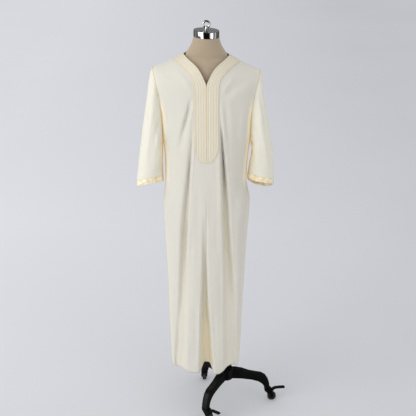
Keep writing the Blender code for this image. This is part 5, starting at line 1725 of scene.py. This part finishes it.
def turned(name, profile, steps, material, at):
    """A solid of revolution. The profile gives radius and height, from the top down its outer side."""
    bm = bmesh.new()
    verts = [bm.verts.new((radius, 0.0, height)) for radius, height in profile]
    for first, second in zip(verts, verts[1:]):
        bm.edges.new((first, second))
    spun(bm, (0.0, 0.0, 1.0), steps)
    bmesh.ops.translate(bm, verts=bm.verts, vec=at)
    return finished_mesh(name, bm, [material])


def rounded_corner(radius, height, size, steps=4, upper=True):
    """Profile points of a rounded outer corner, from the inside out or down."""
    points = []
    for step in range(steps + 1):
        angle = math.pi / 2 * step / steps
        if upper:
            point = (radius - size + size * math.sin(angle), height - size + size * math.cos(angle))
        else:
            point = (radius - size + size * math.cos(angle), height + size - size * math.sin(angle))
        points.append(point)
    return points


CAP_LEAN = 0.050
CAP_RADIUS = 0.050
CAP_BOTTOM = 1.6295
CAP_HEIGHT = 0.0255
CAP_TOP_ROUND = 0.0015
CAP_FOOT_ROUND = 0.0010
RING_RADIUS = 0.0122
RING_WIRE = 0.0038
STEM_GAP = 0.0003
STEM_RADIUS = 0.0055
STEM_HEIGHT = 0.014
STEM_ROUND = 0.001
STEM_NECK = ((STEM_RADIUS, 0.0045), (STEM_RADIUS * 1.25, 0.0032))
STEM_FOOT_RADIUS = STEM_RADIUS * 1.7
STEM_FOOT_HEIGHT = 0.0030
STEM_FOOT_ROUND = 0.0008
RING_OVER_STEM = 0.012


def lean_with_neck(made):
    """Lowers the cap's side towards the wearer's left, as the neck leans."""
    for vert in made.data.vertices:
        vert.co.z -= CAP_LEAN * (vert.co.x - NECK_AXIS.x)


class ROBE_OT_cap(bpy.types.Operator):
    """Make the chromed neck cap and its ring"""

    bl_idname = "robe.cap"
    bl_label = "Neck cap and ring"

    def execute(self, context):
        profile = [(0.0, CAP_HEIGHT)]
        profile += rounded_corner(CAP_RADIUS, CAP_HEIGHT, CAP_TOP_ROUND)
        profile += rounded_corner(CAP_RADIUS, 0.0, CAP_FOOT_ROUND, upper=False)
        profile.append((0.0, 0.0))
        at = (NECK_AXIS.x, NECK_AXIS.y, CAP_BOTTOM)
        made = turned("neck_cap_chrome", profile, 128, finish("chrome"), at)
        lean_with_neck(made)
        dressed(made, "neck_cap")

        profile = [(0.0, STEM_HEIGHT)]
        profile += rounded_corner(STEM_RADIUS, STEM_HEIGHT, STEM_ROUND)
        profile += STEM_NECK
        profile += rounded_corner(STEM_FOOT_RADIUS, STEM_FOOT_HEIGHT, STEM_FOOT_ROUND)
        profile += [(STEM_FOOT_RADIUS, 0.0), (0.0, 0.0)]
        top = CAP_BOTTOM + CAP_HEIGHT + STEM_GAP
        stem = turned("ring_stem", profile, 48, finish("chrome"), (NECK_AXIS.x, NECK_AXIS.y, top))
        lean_with_neck(stem)
        dressed(stem, "cap_ring")

        bm = bmesh.new()
        wire = bmesh.ops.create_circle(bm, segments=24, radius=RING_WIRE)["verts"]
        bmesh.ops.translate(bm, verts=wire, vec=(RING_RADIUS, 0.0, 0.0))
        spun(bm, (0.0, 1.0, 0.0), 64)
        centre = top + RING_OVER_STEM + RING_RADIUS - RING_WIRE / 2
        bmesh.ops.translate(bm, verts=bm.verts, vec=(NECK_AXIS.x, NECK_AXIS.y, centre))
        ring = finished_mesh("cap_ring_chrome", bm, [finish("chrome")])
        lean_with_neck(ring)
        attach(ring, "form")
        return {"FINISHED"}


class ROBE_OT_stand(bpy.types.Operator):
    """Give the stand's solids their finishes"""

    bl_idname = "robe.stand"
    bl_label = "Stand"

    def execute(self, context):
        finishes = {
            "upper_pole": "chrome",
            "stand_tube": "black_metal",
            "pole_socket": "plastic",
            "tripod": "iron",
            "clamp_screw": "black_metal",
        }
        for place in ("left", "front", "back"):
            finishes[f"castor_fork_{place}"] = "black_metal"
            finishes[f"castor_wheel_{place}"] = "tread"
            finishes[f"brake_lever_{place}"] = "plastic"
        for node, name in finishes.items():
            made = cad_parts[node]
            made.data.materials.clear()
            made.data.materials.append(finish(name))
        return {"FINISHED"}


def floor_material(stage):
    """Pale floor with painted light: lighter and glowing more towards the key light's side, and painted shade
    nearer the camera.
    """
    made, tree, shader = new_material(
        "studio_floor", Roughness=0.9, Specular_IOR_Level=0.0, Emission_Strength=stage.floor_glow
    )
    place = add_node(tree, "ShaderNodeTexCoord").outputs["Object"]
    spots = use_group(tree, mottle_group, {"Place": place, "Slow Scale": 0.7, "Quick Scale": 12.0})
    parts = add_node(tree, "ShaderNodeSeparateXYZ", {"Vector": place}).outputs
    share = ranged(tree, parts["X"], -1.6, 1.6)
    # Painted shade: darker nearer the camera.
    nearer = ranged(tree, parts["Y"], 2.0, -0.4)
    light = tuple(stage.floor_tone)
    base = mixed(tree, share, solid(light), shaded(light, 0.80))
    base = mixed(tree, nearer, base, shaded(light, 0.76))
    base = mixed(tree, maths(tree, "MULTIPLY", spots["Slow"], 0.3), base, shaded(light, 0.92))
    tree.links.new(base, shader.inputs["Base Color"])
    # Painted light: the floor glows more on the key light's side.
    glow = mixed(tree, share, (0.78, 0.79, 0.84, 1.0), (0.42, 0.43, 0.45, 1.0))
    tree.links.new(glow, shader.inputs["Emission Color"])
    return made


LAMPS = (
    # name, setting of its power, size, place, point that it faces
    ("key", "key_power", 3.2, (-3.3, -2.2, 2.0), (0.0, 0.0, 0.75)),
    ("fill", "fill_power", 2.0, (2.6, -2.4, 1.2), (0.0, 0.0, 0.8)),
)

# The camera's place from the neck's axis, and how far it looks down, in degrees.
CAMERA_ASIDE = 0.0062
CAMERA_AWAY = 3.970
CAMERA_HEIGHT = 2.496
CAMERA_DOWN = 21.69
CAMERA_SENSOR = 36.0
FLOOR_HALF = 30.0

# What the chrome sees round the studio, by direction: turn from the camera's side, and brightness.
STUDIO_LIGHTS = (
    # from turn, to turn in degrees, lowest and highest slope, brightness
    (-180.0, 180.0, -1.0, 1.0, 0.10),
    (-24.0, 31.0, -0.8, 0.30, 0.004),
    (-51.0, -30.0, -0.8, 0.60, 2.6),
    (48.0, 62.0, -0.8, 0.50, 0.75),
    (78.0, 96.0, -0.8, 0.50, 0.50),
    (-125.0, -100.0, -0.8, 0.40, 0.22),
    (150.0, 215.0, 0.02, 0.34, 0.20),
    (195.0, 203.0, 0.05, 0.30, 1.1),
)


def studio_air(stage):
    """Even light from all round. Shiny metal reflects a dark studio with a few lights in it instead."""
    world = bpy.data.worlds.new("studio_air")
    world.use_nodes = True
    tree = world.node_tree
    even = tree.nodes["Background"]
    even.inputs[0].default_value = (0.96, 0.965, 1.0, 1.0)
    even.inputs[1].default_value = stage.sky_strength
    direction = add_node(tree, "ShaderNodeTexCoord").outputs["Generated"]
    parts = add_node(tree, "ShaderNodeSeparateXYZ", {"Vector": direction}).outputs
    turn = maths(tree, "ARCTAN2", parts["X"], maths(tree, "MULTIPLY", parts["Y"], -1.0))
    total = None
    for start, end, low, high, brightness in STUDIO_LIGHTS:
        middle = math.radians((start + end) / 2)
        half = math.radians((end - start) / 2)
        aside = maths(tree, "SUBTRACT", turn, middle)
        aside = add_node(tree, "ShaderNodeMath", {0: aside, 1: math.pi, 2: -math.pi}, operation="WRAP")
        away = maths(tree, "ABSOLUTE", aside.outputs[0])
        inside = ranged(tree, away, half + 0.03, half - 0.03)
        height = maths(tree, "ABSOLUTE", maths(tree, "SUBTRACT", parts["Z"], (low + high) / 2))
        half = (high - low) / 2
        inside = maths(tree, "MULTIPLY", inside, ranged(tree, height, half + 0.03, half))
        shade = (brightness, brightness, brightness, 1.0)
        total = shade if total is None else mixed(tree, inside, total, shade)
    seen = add_node(tree, "ShaderNodeBackground", {"Color": total, "Strength": 1.0})
    ray = add_node(tree, "ShaderNodeLightPath").outputs["Is Glossy Ray"]
    both = add_node(tree, "ShaderNodeMixShader", {0: ray, 1: even.outputs[0], 2: seen.outputs[0]})
    tree.links.new(both.outputs[0], tree.nodes["World Output"].inputs["Surface"])
    return world


class ROBE_OT_stage(bpy.types.Operator):
    """Lay the floor and set the lights and the camera"""

    bl_idname = "robe.stage"
    bl_label = "Floor, lights and camera"

    def execute(self, context):
        stage = context.scene.robe_stage
        bm = bmesh.new()
        bmesh.ops.create_grid(bm, x_segments=8, y_segments=8, size=FLOOR_HALF)
        floor = finished_mesh("studio_floor", bm, [floor_material(stage)], smooth=False)
        floor.visible_glossy = False
        context.scene.world = studio_air(stage)

        for name, power, size, place, target in LAMPS:
            light = bpy.data.lights.new(name, "AREA")
            light.energy = getattr(stage, power)
            light.size = size
            lamp = bpy.data.objects.new(name, light)
            lamp.location = place
            lamp.rotation_euler = (Vector(target) - Vector(place)).to_track_quat("-Z", "Y").to_euler()
            context.scene.collection.objects.link(lamp)

        camera = bpy.data.cameras.new("photo_camera")
        camera.lens = stage.lens
        camera.sensor_width = CAMERA_SENSOR
        made = bpy.data.objects.new("photo_camera", camera)
        made.location = (NECK_AXIS.x + CAMERA_ASIDE, NECK_AXIS.y - CAMERA_AWAY, CAMERA_HEIGHT)
        made.rotation_euler = (math.radians(90.0 - CAMERA_DOWN), 0.0, 0.0)
        context.scene.collection.objects.link(made)
        context.scene.camera = made
        context.scene.view_settings.view_transform = "Standard"
        return {"FINISHED"}


OPERATORS = (
    ROBE_OT_stage,
    ROBE_OT_panels,
    ROBE_OT_sleeves,
    ROBE_OT_cuffs,
    ROBE_OT_plastron,
    ROBE_OT_braids,
    ROBE_OT_seams,
    ROBE_OT_neckband,
    ROBE_OT_form,
    ROBE_OT_cap,
    ROBE_OT_stand,
)


class ROBE_PT_tools(bpy.types.Panel):
    """Lists the robe's sizes, colours and makers"""

    bl_label = "Embroidered robe"
    bl_idname = "ROBE_PT_tools"
    bl_space_type = "VIEW_3D"
    bl_region_type = "UI"
    bl_category = "Robe"

    def draw(self, context):
        for settings in (context.scene.robe_cloth, context.scene.robe_stand, context.scene.robe_stage):
            box = self.layout.box()
            for name in settings.__annotations__:
                box.prop(settings, name)
        for operator in OPERATORS:
            self.layout.operator(operator.bl_idname)


CLASSES = (RobeClothSettings, RobeStandSettings, RobeStageSettings, *OPERATORS, ROBE_PT_tools)


def register():
    for made in CLASSES:
        bpy.utils.register_class(made)
    bpy.types.Scene.robe_cloth = bpy.props.PointerProperty(type=RobeClothSettings)
    bpy.types.Scene.robe_stand = bpy.props.PointerProperty(type=RobeStandSettings)
    bpy.types.Scene.robe_stage = bpy.props.PointerProperty(type=RobeStageSettings)


def unregister():
    del bpy.types.Scene.robe_stage
    del bpy.types.Scene.robe_stand
    del bpy.types.Scene.robe_cloth
    for made in reversed(CLASSES):
        bpy.utils.unregister_class(made)


def main():
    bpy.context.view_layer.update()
    register()
    for operator in OPERATORS:
        group, name = operator.bl_idname.split(".")
        getattr(getattr(bpy.ops, group), name)()


if __name__ == "__main__":
    main()
